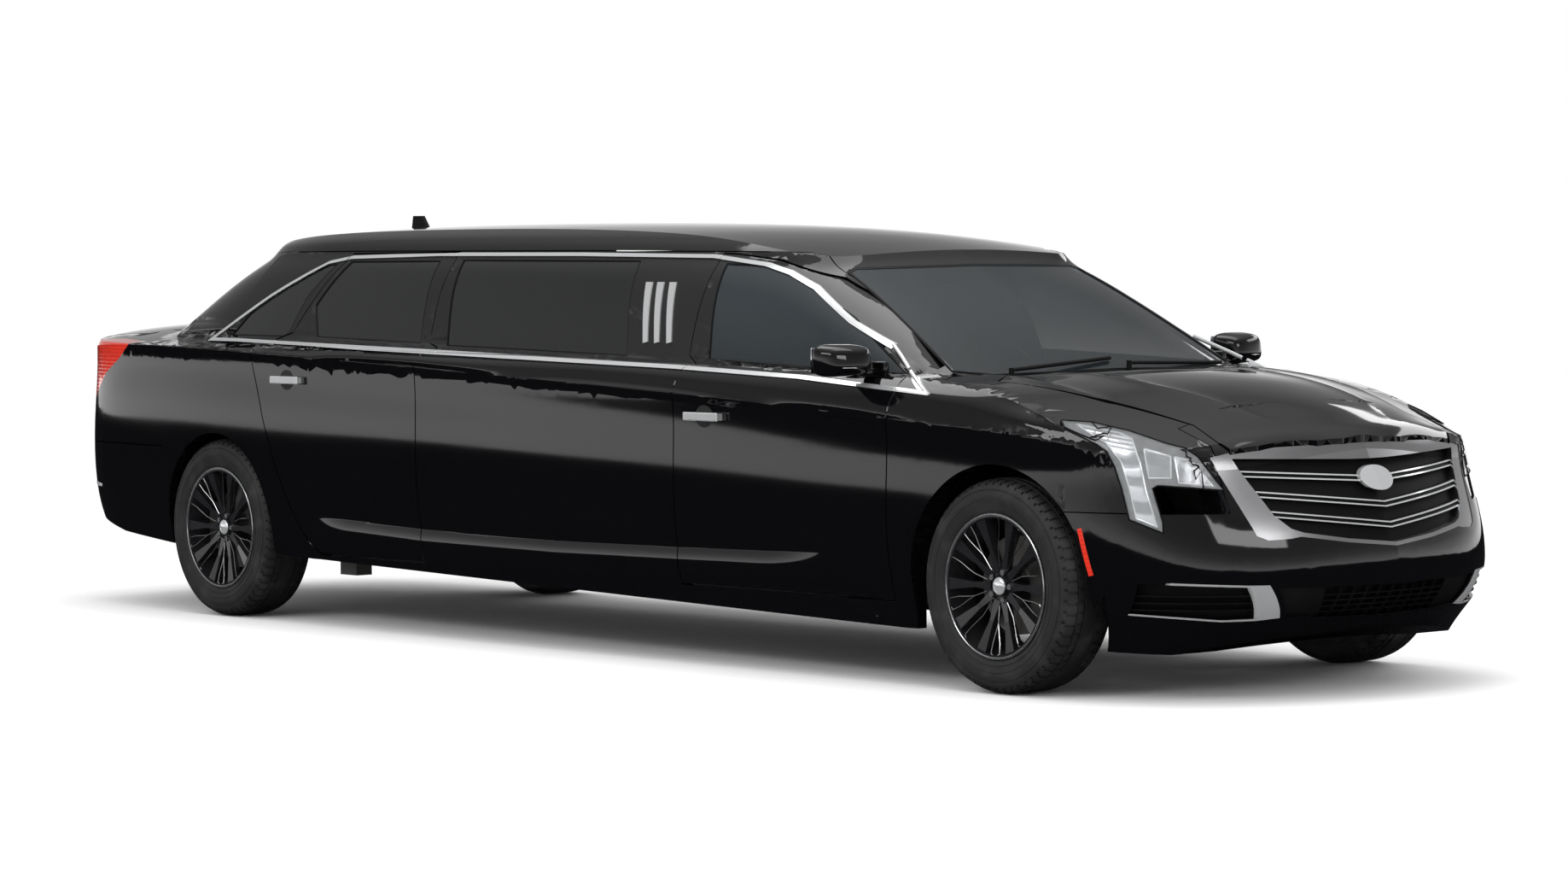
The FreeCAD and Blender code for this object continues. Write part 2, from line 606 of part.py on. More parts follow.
def body_panels():
    """All painted panels, fixed and hinged, and the glass that follows their openings."""
    shell = body_shell()
    windshield = front_prism(WINDSHIELD_SHARES, station(0.70), station(1.0))
    rear_window = front_prism(REAR_WINDOW_SHARES, station(-0.8), station(-0.1))
    pane = under_roof(glasshouse_block(GLASS_SET)).cut(under_roof(glasshouse_block(GLASS_SET + GLASS)))
    save("windshield", solids_over(pane.common(windshield), SMALLEST_PIECE))
    save("rear_window", solids_over(pane.common(rear_window), SMALLEST_PIECE))
    shell = shell.cut([windshield, rear_window])
    save("hood", solids_over(shell.common(hood_prism()), SMALLEST_PIECE))
    shell = shell.cut(hood_prism(GAP))
    save("boot_lid", solids_over(shell.common(lid_prism()), SMALLEST_PIECE))
    shell = shell.cut(lid_prism(GAP))
    for place, outline, window, x0, x1 in (("front", FRONT_DOOR, FRONT_GLASS, 0, LENGTH),
                                           ("rear", REAR_DOOR, REAR_GLASS, -LENGTH, 0)):
        opening = side_prism(window, 0, DOOR_SHEAR)
        quarter = shell.common(box(x0, x1, 0, LENGTH, -HEIGHT, 2 * HEIGHT))
        door = solids_over(quarter.common(side_prism(outline, 0, DOOR_SHEAR)), SMALLEST_PIECE).cut(opening)
        glass = solids_over(pane.common(opening), SMALLEST_PIECE)
        save("door_%s_left" % place, solids_over(door, SMALLEST_PIECE))
        save("door_%s_right" % place, mirrored(solids_over(door, SMALLEST_PIECE)))
        save("door_glass_%s_left" % place, glass)
        save("door_glass_%s_right" % place, mirrored(glass))
        gap = side_prism(outline, GAP, DOOR_SHEAR)
        shell = shell.cut([gap, mirrored(gap)])
    fixed_glass = []
    for outline in (MIDDLE_GLASS, QUARTER_GLASS):
        opening = side_prism(outline, 0, DOOR_SHEAR)
        clear = pane.common(opening).cut(side_prism(REAR_DOOR, GAP, DOOR_SHEAR))
        fixed_glass.append(solids_over(clear, SMALLEST_PIECE))
        shell = shell.cut([opening, mirrored(opening)])
    save("side_glass", Part.makeCompound(fixed_glass + [mirrored(g) for g in fixed_glass]))
    headlamp = diagonal_prism(HEADLAMP_SHARES)
    grille_hole = front_prism(GRILLE_SHARES, station(1.55), station(2.2))
    intake = front_prism(INTAKE_SHARES, station(1.55), station(2.2))
    pocket = pocket_prism()
    tail = side_prism(TAIL_LAMP_SHARES)
    lens_layer = layer(0, LAMP_DEPTH, "tail")
    lamps(headlamp)
    small = marker_lamps()
    tail_lamp = largest(lens_layer.common(tail).cut(lid_prism(GAP)))
    save("red_lamps", Part.makeCompound([tail_lamp, mirrored(tail_lamp)] + small))
    shell = shell.cut([headlamp, mirrored(headlamp), tail, mirrored(tail), grille_hole, intake, pocket,
                       mirrored(pocket)] + small)
    grilles(grille_hole, intake, pocket)
    bumper, shell = split(shell, bumper_zone(0), bumper_zone(PANEL_GAP))
    save("front_bumper", bumper)
    bumper, shell = split(shell, rear_bumper_zone(0), rear_bumper_zone(PANEL_GAP))
    save("rear_bumper", bumper)
    roof, shell = split(shell, roof_zone(0), roof_zone(PANEL_GAP))
    save("roof_panel", roof)
    cross, shell = split(shell, cross_zone(0), cross_zone(PANEL_GAP))
    save("cross_panels", cross)
    fenders, shell = split(shell, front_zone(FENDER_REAR_SHARE), front_zone(FENDER_REAR_SHARE))
    fender = max((p for p in fenders.Solids if p.CenterOfMass.y > 0), key=lambda p: p.Volume)
    save("front_fenders", both(fender))
    left = solids_over(shell.common(box(-LENGTH, LENGTH, 0, LENGTH, -HEIGHT, 2 * HEIGHT)), SMALLEST_PIECE)
    save("body_side_left", left)
    save("body_side_right", mirrored(left))


def cross_zone(gap):
    """Middle strip of cowl, parcel shelf and boot surround between the body sides."""
    half = wide(CROSS_HALF_SHARE) + gap
    return box(-LENGTH, LENGTH, -half, half, high(CROSS_LINE_SHARE) - gap, 2 * HEIGHT)


def layer(near, far, end="nose"):
    """Skin of the nose or tail between two depths, made once for each pair."""
    if (near, far, end) not in SKINS:
        SKINS[near, far, end] = skin_block(near, end).cut(skin_block(far, end))
    return SKINS[near, far, end]


def front_block(outline):
    """Block along the nose on the left side only, from half width and height shares."""
    face = face_of([V(station(POCKET_START_SHARE), wide(y), high(z)) for y, z in outline])
    return face.extrude(V(LENGTH, 0, 0))


def pocket_prism():
    return front_block(POCKET_SHARES)


def lamps(opening):
    """Clear lens, dark bowl, and the bright light bar and projectors between them."""
    save("headlamps", both(largest(layer(0, LENS).common(opening))))
    save("lamp_bowls", both(largest(layer(BOWL_DEPTH, LAMP_DEPTH).common(opening))))
    bright = layer(LIGHT_DEPTH, BOWL_DEPTH)
    lights = [largest(bright.common(diagonal_prism(outline))) for outline in [BLADE_SHARES] + PROJECTOR_SHARES]
    save("lamp_lights", Part.makeCompound(lights + [mirrored(light) for light in lights]))


def marker_lamps():
    """Front side markers and rear reflectors, let into the skin."""
    near = [largest(layer(-MARKER_PROUD, MARKER_DEPTH, end).common(side_prism(outline)))
            for end, outline in (("nose", MARKER_SHARES), ("tail", REFLECTOR_SHARES))]
    return near + [mirrored(piece) for piece in near]


def grilles(hole, intake, pocket):
    """Grille frame, its bright bars and boss, and the black slats of all the nose openings."""
    hood_cut = hood_prism(GAP)
    inner = front_prism(GRILLE_INNER_SHARES, station(1.55), station(2.2))
    frame = layer(FRAME_FRONT, FRAME_BACK).common(hole.cut(inner)).cut(hood_cut)
    save("grille", solids_over(frame, SMALLEST_PIECE))
    centre = high(BOSS_SHARES[2])
    reach_y, reach_z = wide(BOSS_SHARES[0]), high(BOSS_SHARES[1])
    ellipse = Part.Ellipse(V(0, 0, 0), max(reach_y, reach_z), min(reach_y, reach_z)).toShape()
    ellipse.rotate(V(0, 0, 0), V(1, 0, 0), 90)
    ellipse.rotate(V(0, 0, 0), V(0, 0, 1), 90)
    ellipse.translate(V(station(1.6), 0, centre))
    boss_prism = Part.Face(Part.Wire(ellipse)).extrude(V(LENGTH, 0, 0))
    boss = largest(layer(BOSS_FRONT, BAR_BACK).common(boss_prism))
    strips = []
    slats = []
    for outer_level, centre_level in GRILLE_BAR_SHARES:
        for step in (0, GRILLE_BAR_STEP_SHARE):
            strips.append(chevron(outer_level - step, centre_level - step, GRILLE_STRIP_SHARE))
        slats.append(chevron(outer_level, centre_level, GRILLE_BAR_STEP_SHARE + GRILLE_STRIP_SHARE))
    strip_layer = layer(BAR_FRONT, BAR_BACK).common(inner)
    bars = [strip_layer.common(strip).cut(boss_prism) for strip in strips]
    trims = [boss]
    trims += [s for bar in bars for s in bar.Solids]
    pocket_skin = layer(POCKET_TRIM_FRONT, POCKET_TRIM_BACK)
    pieces = [CORNER_BLADE_SHARES] + POCKET_LINE_SHARES
    side = fused([pocket_skin.common(front_block(outline)) for outline in pieces])
    side = largest(side.common(pocket))
    save("front_brightwork", Part.makeCompound(trims + [side, mirrored(side)]))
    slat_layer = layer(BAR_BACK, FRAME_BACK).common(inner)
    plate = layer(FRAME_BACK, PLATE_BACK).common(hole).cut(hood_cut)
    black = largest(fused([plate] + [slat_layer.common(slat) for slat in slats]))
    low = largest(low_grille(intake))
    corner = largest(corner_grille(pocket))
    save("lower_grilles", Part.makeCompound([black, low, corner, mirrored(corner)]))


def chevron(outer_level, centre_level, thick):
    """Bar across the grille that dips to its middle."""
    reach = GRILLE_BAR_REACH_SHARE
    outline = [(0.0, centre_level), (reach, outer_level), (reach, outer_level - thick), (0.0, centre_level - thick)]
    return front_prism(outline, station(1.6), station(2.2))


def low_grille(intake):
    """Middle intake: a back plate with level slats, upright ribs and a plain cover at each end."""
    skin = layer(SLAT_FRONT, PLATE_BACK).common(intake)
    pieces = [layer(FRAME_BACK, PLATE_BACK).common(intake)]
    for level in INTAKE_SLAT_SHARES:
        bar = box(0, LENGTH, -wide(INTAKE_MESH_SHARE), wide(INTAKE_MESH_SHARE), high(level), high(level) + SLAT)
        pieces.append(skin.common(bar))
    for index in range(-INTAKE_RIBS, INTAKE_RIBS + 1):
        y = wide(INTAKE_MESH_SHARE) * index / (INTAKE_RIBS + 1)
        pieces.append(skin.common(box(0, LENGTH, y - SLAT / 2, y + SLAT / 2, 0, HEIGHT)))
    cover = front_block(INTAKE_PLATE_SHARES)
    pieces += [skin.common(cover), skin.common(mirrored(cover))]
    return fused(pieces)


def corner_grille(pocket):
    """Slatted pocket behind the corner trim."""
    pieces = [layer(FRAME_BACK, PLATE_BACK).common(pocket)]
    room = layer(POCKET_TRIM_BACK, FRAME_BACK).common(pocket)
    for level in CORNER_SLAT_SHARES:
        pieces.append(room.common(box(0, LENGTH, 0, LENGTH, high(level), high(level) + SLAT)))
    pieces.append(room.common(front_block(CORNER_BLADE_SHARES)))
    return fused(pieces)


LENS = 4.0
LIGHT_DEPTH = 14.0
BOWL_DEPTH = 46.0
MARKER_PROUD = 1.5
MARKER_DEPTH = 8.0
FRAME_FRONT = 2.0
FRAME_BACK = 34.0
PLATE_BACK = 44.0
BAR_FRONT = 10.0
BAR_BACK = 16.0
BOSS_FRONT = 0.0
POCKET_TRIM_FRONT = 0.0
POCKET_TRIM_BACK = 12.0
SLAT_FRONT = 12.0
SLAT = 5.0
INTAKE_SLAT_SHARES = (0.182, 0.194, 0.206, 0.218)
INTAKE_MESH_SHARE = 0.30
INTAKE_RIBS = 4
CORNER_SLAT_SHARES = (0.192, 0.207, 0.222)
LAMP_DEPTH = 60.0

# Wheels and running gear
TREAD_ROUND = 26.0
BEAD_HALF = 100.0
BARREL = 9.0
FLANGE_LIP = 9.0
DROP_RADIUS = 205.0
SPOKE_DEPTH = 26.0
SPOKE_ROOT = 30.0
SPOKE_TIP = 42.0
SPOKE_WAIST = 17.0
SPOKE_FACE = 84.0
HUB_RADIUS = 66.0
CAP_RADIUS = 32.0
DISC_RADIUS = 165.0
DISC_THICK = 26.0
DISC_FACE = 6.0
SPINDLE_RADIUS = 30.0
SPINDLE_ROOT = 60.0
ARM_LEVEL = 235.0
ARM_THICK = 30.0
ARM_CLEAR = 6.0
KNUCKLE_THICK = 44.0
KNUCKLE_LOW = 205.0
KNUCKLE_HIGH = 560.0
KNUCKLE_HALF = 38.0
BALL_RADIUS = 16.0
PIN_SEAT = 4.2
STEER_ARM_BACK = 130.0
STEER_ARM_LEVEL = 300.0
ROD_RADIUS = 11.0
STRUT_RADIUS = 28.0
SPRING_RADIUS = 62.0
STRUT_TOP = 850.0
STRUT_TOP_Y = 555.0
DAMPER_Y = 560.0
TIE_ROD_END = 600.0
CALIPER_LENGTH = 190.0


def revolved(points, side_axis=True):
    """Ring turned about the wheel axis from points of radius and place along the axle."""
    face = face_of([V(r, y, 0) for r, y in points])
    return face.revolve(V(0, 0, 0), V(0, 1, 0), 360)


def tyre():
    """Tyre about its own centre, with round shoulders and a shallow groove pattern carried by the tread."""
    half = TYRE_WIDTH / 2
    base = RIM_RADIUS - BARREL
    crown = TYRE_RADIUS
    section = [
        (base + FIT, -BEAD_HALF + FIT), (RIM_RADIUS + FIT, -BEAD_HALF + FIT),
        (base + (crown - base) * 0.30, -half * 0.95), (base + (crown - base) * 0.55, -half),
        (crown - TREAD_ROUND * 1.3, -half * 0.975), (crown - TREAD_ROUND * 0.35, -half * 0.87),
        (crown - TREAD_ROUND * 0.08, -half * 0.70), (crown, -half * 0.35)]
    mirror = [(r, -y) for r, y in reversed(section)]
    inner = [(base + (crown - base) * 0.80, half * 0.80), (base + (crown - base) * 0.80, -half * 0.80)]
    outline = section + mirror
    return revolved(outline)


def rim(side):
    """Rim about its own centre: barrel, ten flared spokes, hub with a bore for the spindle, cap and brake disc."""
    half = BEAD_HALF
    barrel = revolved([
        (RIM_RADIUS - BARREL, -half), (RIM_RADIUS, -half), (RIM_RADIUS, -half - FLANGE_LIP),
        (RIM_RADIUS - BARREL * 2, -half - FLANGE_LIP), (DROP_RADIUS + BARREL, -half * 0.5),
        (DROP_RADIUS, half * 0.1), (RIM_RADIUS - BARREL * 2.2, half * 0.75),
        (RIM_RADIUS - BARREL * 1.6, half + FLANGE_LIP), (RIM_RADIUS, half + FLANGE_LIP),
        (RIM_RADIUS, half), (RIM_RADIUS - BARREL, half),
        (RIM_RADIUS - BARREL * 1.2, half * 0.75), (DROP_RADIUS + BARREL, half * 0.2),
        (DROP_RADIUS + BARREL * 2, -half * 0.4)])
    hub = revolved([
        (HUB_BORE + SHAFT_CLEARANCE, DISC_FACE), (HUB_RADIUS, DISC_FACE), (HUB_RADIUS, SPOKE_FACE - SPOKE_DEPTH),
        (HUB_RADIUS * 0.92, SPOKE_FACE - SPOKE_DEPTH * 0.3), (CAP_RADIUS, SPOKE_FACE - SPOKE_DEPTH * 0.5),
        (CAP_RADIUS, SPOKE_FACE + SPOKE_DEPTH * 0.1), (0, SPOKE_FACE + SPOKE_DEPTH * 0.25),
        (0, SPOKE_FACE - SPOKE_DEPTH), (HUB_BORE + SHAFT_CLEARANCE, SPOKE_FACE - SPOKE_DEPTH)])
    disc = revolved([
        (HUB_BORE + SHAFT_CLEARANCE, DISC_FACE - DISC_THICK), (DISC_RADIUS, DISC_FACE - DISC_THICK),
        (DISC_RADIUS, DISC_FACE), (HUB_BORE + SHAFT_CLEARANCE, DISC_FACE)])
    reach = RIM_RADIUS - BARREL * 1.9
    start = CAP_RADIUS + (HUB_RADIUS - CAP_RADIUS) * 0.5
    waist = start + (reach - start) * 0.42
    face = SPOKE_FACE
    plan = [(start, -SPOKE_ROOT / 2), (waist, -SPOKE_WAIST / 2), (reach, -SPOKE_TIP / 2),
            (reach, SPOKE_TIP / 2), (waist, SPOKE_WAIST / 2), (start, SPOKE_ROOT / 2)]
    profile = [(start, face - SPOKE_DEPTH), (reach, half * 0.60), (reach, half + FLANGE_LIP * 0.6),
               (waist, face + SPOKE_DEPTH * 0.15), (start, face - SPOKE_DEPTH * 0.1)]
    blade = face_of([V(r, -TYRE_WIDTH, w) for r, w in plan]).extrude(V(0, 2 * TYRE_WIDTH, 0))
    slab = face_of([V(r, y, -SPOKE_TIP) for r, y in profile]).extrude(V(0, 0, 2 * SPOKE_TIP))
    spoke = blade.common(slab)
    spokes = []
    for index in range(SPOKES):
        turned = spoke.copy()
        turned.rotate(V(0, 0, 0), V(0, 1, 0), index * 360 / SPOKES)
        spokes.append(turned)
    wheel = barrel.fuse([hub, disc] + spokes).removeSplitter()
    return wheel if side > 0 else mirrored(wheel)


def moved(shape, x, y, z):
    copy = shape.copy()
    copy.translate(V(x, y, z))
    return copy


def wheels():
    for place, x in (("front", FRONT_AXLE), ("rear", REAR_AXLE)):
        for name, side in (("left", 1), ("right", -1)):
            save("tyre_%s_%s" % (place, name), moved(tyre(), x, side * TRACK / 2, TYRE_RADIUS))
            save("rim_%s_%s" % (place, name), moved(rim(side), x, side * TRACK / 2, TYRE_RADIUS))


def tube(a, b, radius):
    """Round bar from one point to another."""
    run = b - a
    return Part.makeCylinder(radius, run.Length, a, run)


def spindle(x, root):
    """Stub axle that the hub turns on, with its root flange."""
    y = TRACK / 2
    shaft = cylinder_y(SPINDLE_RADIUS, x, TYRE_RADIUS, root, y + SPOKE_FACE - SPOKE_DEPTH - GAP)
    flange = cylinder_y(SPINDLE_ROOT, x, TYRE_RADIUS, root, y + DISC_FACE - DISC_THICK - GAP)
    return shaft.fuse(flange)


def caliper(x, back):
    """Brake caliper that straddles the edge of the disc."""
    y = TRACK / 2 + DISC_FACE - DISC_THICK / 2
    half = DISC_THICK / 2 + GAP
    body = box(x, x + DISC_RADIUS + 3 * GAP + GAP, y - half - 3 * GAP, y + half + 3 * GAP,
               TYRE_RADIUS - CALIPER_LENGTH / 2, TYRE_RADIUS + CALIPER_LENGTH / 2)
    body = body.cut(box(x - GAP, x + DISC_RADIUS * 0.55, y - half - 4 * GAP, y + half + 4 * GAP, 0, HEIGHT))
    slot = cylinder_y(DISC_RADIUS + GAP, x, TYRE_RADIUS, y - half, y + half)
    limit = cylinder_y(DROP_RADIUS - GAP, x, TYRE_RADIUS, y - half - 4 * GAP, y + half + 4 * GAP)
    body = body.cut(slot).common(limit)
    if back:
        body.rotate(V(x, 0, TYRE_RADIUS), V(0, 1, 0), 180)
    return body


def kingpin(level):
    """Point of the left steering axis at a height: it leans inward from the lower ball to the strut top."""
    lean = (KINGPIN_Y - STRUT_TOP_Y) / (STRUT_TOP - ARM_LEVEL)
    return V(FRONT_AXLE, KINGPIN_Y - lean * (level - ARM_LEVEL), level)


def knuckle():
    """Left steering knuckle: upright with the spindle, steering arm and caliper."""
    x = FRONT_AXLE
    pin = tube(kingpin(ARM_LEVEL + ARM_THICK / 2 + PIN_SEAT), kingpin(KNUCKLE_HIGH), BALL_RADIUS)
    upright = tube(kingpin(ARM_LEVEL + ARM_THICK + ARM_CLEAR), kingpin(KNUCKLE_HIGH), KNUCKLE_HALF)
    hub_y = kingpin(TYRE_RADIUS).y
    arm = box(x - STEER_ARM_BACK - BALL_RADIUS, x, hub_y - BALL_RADIUS - GAP, hub_y + BALL_RADIUS - GAP,
              STEER_ARM_LEVEL - ARM_THICK, STEER_ARM_LEVEL)
    bridge = box(x, x + DISC_RADIUS * 0.75, hub_y - KNUCKLE_THICK / 2, hub_y + KNUCKLE_THICK / 2,
                 TYRE_RADIUS - CALIPER_LENGTH * 0.3, TYRE_RADIUS + CALIPER_LENGTH * 0.3)
    link = box(x + DISC_RADIUS * 0.56, x + DISC_RADIUS * 0.75, hub_y,
               TRACK / 2 + DISC_FACE - DISC_THICK - 2 * GAP, TYRE_RADIUS - CALIPER_LENGTH * 0.3,
               TYRE_RADIUS + CALIPER_LENGTH * 0.3)
    return upright.fuse([pin, arm, bridge, link, spindle(x, hub_y), caliper(x, False)]).removeSplitter()


RAIL_HALF = 34.0
RAIL_Y = 330.0
RAIL_LEVEL = 240.0
CROSS_BEAM = 60.0
RACK_RADIUS = 24.0
RACK_LEVEL = 322.0
TOWER_PLATE = 8.0


def front_suspension():
    """Subframe with lower arms, struts with springs, and the steering rack with its rods."""
    x = FRONT_AXLE
    pieces = []
    for back in (-2.2, 1.8):
        pieces.append(box(x + back * DISC_RADIUS - CROSS_BEAM / 2, x + back * DISC_RADIUS + CROSS_BEAM / 2,
                          -RAIL_Y, RAIL_Y, RAIL_LEVEL - RAIL_HALF, RAIL_LEVEL + RAIL_HALF))
    for side in (1, -1):
        rail = box(x - 3 * DISC_RADIUS, x + 3 * DISC_RADIUS, side * RAIL_Y - RAIL_HALF, side * RAIL_Y + RAIL_HALF,
                   RAIL_LEVEL - RAIL_HALF, RAIL_LEVEL + RAIL_HALF)
        pieces.append(rail)
        level = ARM_LEVEL - ARM_THICK / 2
        arm = face_of([V(x + BALL_RADIUS * 2, side * (KINGPIN_Y + BALL_RADIUS * 2), level),
                       V(x - BALL_RADIUS * 2, side * (KINGPIN_Y + BALL_RADIUS * 2), level),
                       V(x - DISC_RADIUS * 1.6, side * RAIL_Y, level),
                       V(x + DISC_RADIUS, side * RAIL_Y, level)]).extrude(V(0, 0, ARM_THICK))
        pieces.append(arm)
        post = box(x - 3 * DISC_RADIUS, x - 2.4 * DISC_RADIUS, side * RAIL_Y - RAIL_HALF,
                   side * RAIL_Y + RAIL_HALF, RAIL_LEVEL, FLOOR_TOP - FLOOR_PLATE)
        pieces.append(post)
    frame = fused(pieces)
    rack = tube(V(x - STEER_ARM_BACK, -TIE_ROD_END, RACK_LEVEL), V(x - STEER_ARM_BACK, TIE_ROD_END, RACK_LEVEL),
                ROD_RADIUS)
    housing = tube(V(x - STEER_ARM_BACK, -RAIL_Y * 0.8, RACK_LEVEL), V(x - STEER_ARM_BACK, RAIL_Y * 0.8, RACK_LEVEL),
                   RACK_RADIUS)
    ends = []
    for side in (1, -1):
        ends.append(tube(V(x - STEER_ARM_BACK, side * TIE_ROD_END, RACK_LEVEL),
                         V(x - STEER_ARM_BACK, side * (kingpin(TYRE_RADIUS).y - GAP), RACK_LEVEL), ROD_RADIUS))
        foot = box(x - STEER_ARM_BACK - RACK_RADIUS, x - STEER_ARM_BACK + RACK_RADIUS,
                   side * RAIL_Y - RAIL_HALF, side * RAIL_Y + RAIL_HALF, RAIL_LEVEL, RACK_LEVEL + ROD_RADIUS)
        ends.append(foot)
    beam = frame.fuse([rack, housing] + ends)
    struts = []
    lean = kingpin(STRUT_TOP) - kingpin(KNUCKLE_HIGH)
    unit = V(lean)
    unit.normalize()
    foot = kingpin(KNUCKLE_HIGH) + unit * FIT
    strut = tube(foot, kingpin(STRUT_TOP), STRUT_RADIUS)
    for share in (0.64, 0.73, 0.82, 0.91):
        strut = strut.fuse(Part.makeCylinder(SPRING_RADIUS, ROD_RADIUS, foot + lean * share, unit))
    strut = strut.fuse(Part.makeCylinder(SPRING_RADIUS * 1.2, TOWER_PLATE, kingpin(STRUT_TOP), unit))
    struts = [strut, mirrored(strut)]
    return Part.makeCompound([beam] + struts)


def rear_suspension():
    """Cross member with hub carriers, arms, spring struts and the final drive."""
    x = REAR_AXLE
    pieces = [box(x - CROSS_BEAM * 1.5, x + CROSS_BEAM * 1.5, -RAIL_Y - RAIL_HALF, RAIL_Y + RAIL_HALF,
                  TYRE_RADIUS - RAIL_HALF * 2.6, TYRE_RADIUS - RAIL_HALF * 0.6)]
    pieces.append(cylinder_y(DISC_RADIUS * 0.75, x, TYRE_RADIUS, -CROSS_BEAM * 2, CROSS_BEAM * 2))
    pieces.append(tube(V(x, -KINGPIN_Y, TYRE_RADIUS), V(x, KINGPIN_Y, TYRE_RADIUS), RACK_RADIUS))
    for side in (1, -1):
        carrier = box(x - KNUCKLE_HALF, x + KNUCKLE_HALF, KINGPIN_Y - KNUCKLE_THICK / 2,
                      KINGPIN_Y + KNUCKLE_THICK / 2, ARM_LEVEL, TYRE_RADIUS + DISC_RADIUS)
        bridge = box(x - DISC_RADIUS * 0.75, x, KINGPIN_Y - KNUCKLE_THICK / 2, KINGPIN_Y + KNUCKLE_THICK / 2,
                     TYRE_RADIUS - CALIPER_LENGTH * 0.3, TYRE_RADIUS + CALIPER_LENGTH * 0.3)
        link = box(x - DISC_RADIUS * 0.75, x - DISC_RADIUS * 0.56, KINGPIN_Y,
                   TRACK / 2 + DISC_FACE - DISC_THICK - 2 * GAP, TYRE_RADIUS - CALIPER_LENGTH * 0.3,
                   TYRE_RADIUS + CALIPER_LENGTH * 0.3)
        axle = fused([carrier, bridge, link, spindle(x, KINGPIN_Y), caliper(x, True)])
        low = tube(V(x + KNUCKLE_HALF * 0.5, KINGPIN_Y, ARM_LEVEL + ARM_THICK / 2),
                   V(x + KNUCKLE_HALF * 0.5, RAIL_Y * 0.9, TYRE_RADIUS - RAIL_HALF * 1.6), ARM_THICK / 2)
        trail = tube(V(x, KINGPIN_Y, ARM_LEVEL + ARM_THICK),
                     V(x + TYRE_RADIUS * 1.35, RAIL_Y * 1.3, ARM_LEVEL), ARM_THICK / 2)
        mount = box(x + TYRE_RADIUS * 1.35 - ARM_THICK, x + TYRE_RADIUS * 1.35 + ARM_THICK,
                    RAIL_Y * 1.3 - ARM_THICK, RAIL_Y * 1.3 + ARM_THICK,
                    ARM_LEVEL - ARM_THICK, FLOOR_TOP - FLOOR_PLATE)
        damper = tube(V(x - KNUCKLE_HALF, DAMPER_Y, ARM_LEVEL + ARM_THICK), V(x - KNUCKLE_HALF, DAMPER_Y, STRUT_TOP),
                      STRUT_RADIUS)
        foot = box(x - KNUCKLE_HALF * 1.5, x + KNUCKLE_HALF * 0.8, DAMPER_Y - ARM_THICK, DAMPER_Y + ARM_THICK,
                   ARM_LEVEL, ARM_LEVEL + ARM_THICK * 1.6)
        group = fused([axle, low, trail, mount, damper, foot])
        pieces.append(group if side > 0 else mirrored(group))
    return fused(pieces)


# Engine, shaft, exhaust and tank
ENGINE_LENGTH = 560.0
ENGINE_HALF = 240.0
ENGINE_LOW = 354.0
ENGINE_HIGH = 770.0
SHAFT_RADIUS = 35.0
SHAFT_LEVEL = 345.0
GEARBOX_HALF = 105.0
GEARBOX_LOW = 285.0
GEARBOX_TOP = 470.0
EXHAUST_RADIUS = 30.0
EXHAUST_Y = 250.0
EXHAUST_LEVEL = 215.0
MUFFLER_RADIUS = 85.0
TAIL_PIPE_Y = 560.0
TANK_LENGTH = 620.0
TANK_HALF = 380.0


def engine():
    """Engine and gearbox as one plain mass on the subframe."""
    x = FRONT_AXLE
    block = box(x - ENGINE_LENGTH * 0.35, x + ENGINE_LENGTH * 0.65, -ENGINE_HALF, ENGINE_HALF,
                ENGINE_LOW, ENGINE_HIGH)
    feet = []
    for side in (1, -1):
        y0 = side * (RAIL_Y - RAIL_HALF * 0.6)
        y1 = side * (ENGINE_HALF - RAIL_HALF)
        feet.append(box(x + ENGINE_LENGTH * 0.30, x + ENGINE_LENGTH * 0.42, min(y0, y1), max(y0, y1),
                        RAIL_LEVEL + RAIL_HALF, RAIL_LEVEL + RAIL_HALF + 100))
    return block.fuse(feet)


def drive_line():
    """Shaft in the tunnel and the gearbox between it and the engine."""
    x0 = REAR_AXLE + DISC_RADIUS * 0.75 + FIT
    x1 = station(FIREWALL_SHARE) + BULKHEAD + 2 * GAP
    x2 = FRONT_AXLE - ENGINE_LENGTH * 0.35 - FIT
    shaft = Part.makeCylinder(SHAFT_RADIUS, x1 - x0 + GAP, V(x0, 0, SHAFT_LEVEL), V(1, 0, 0))
    gearbox = box(x1, x2, -GEARBOX_HALF, GEARBOX_HALF, GEARBOX_LOW, GEARBOX_TOP)
    return shaft.fuse(gearbox)


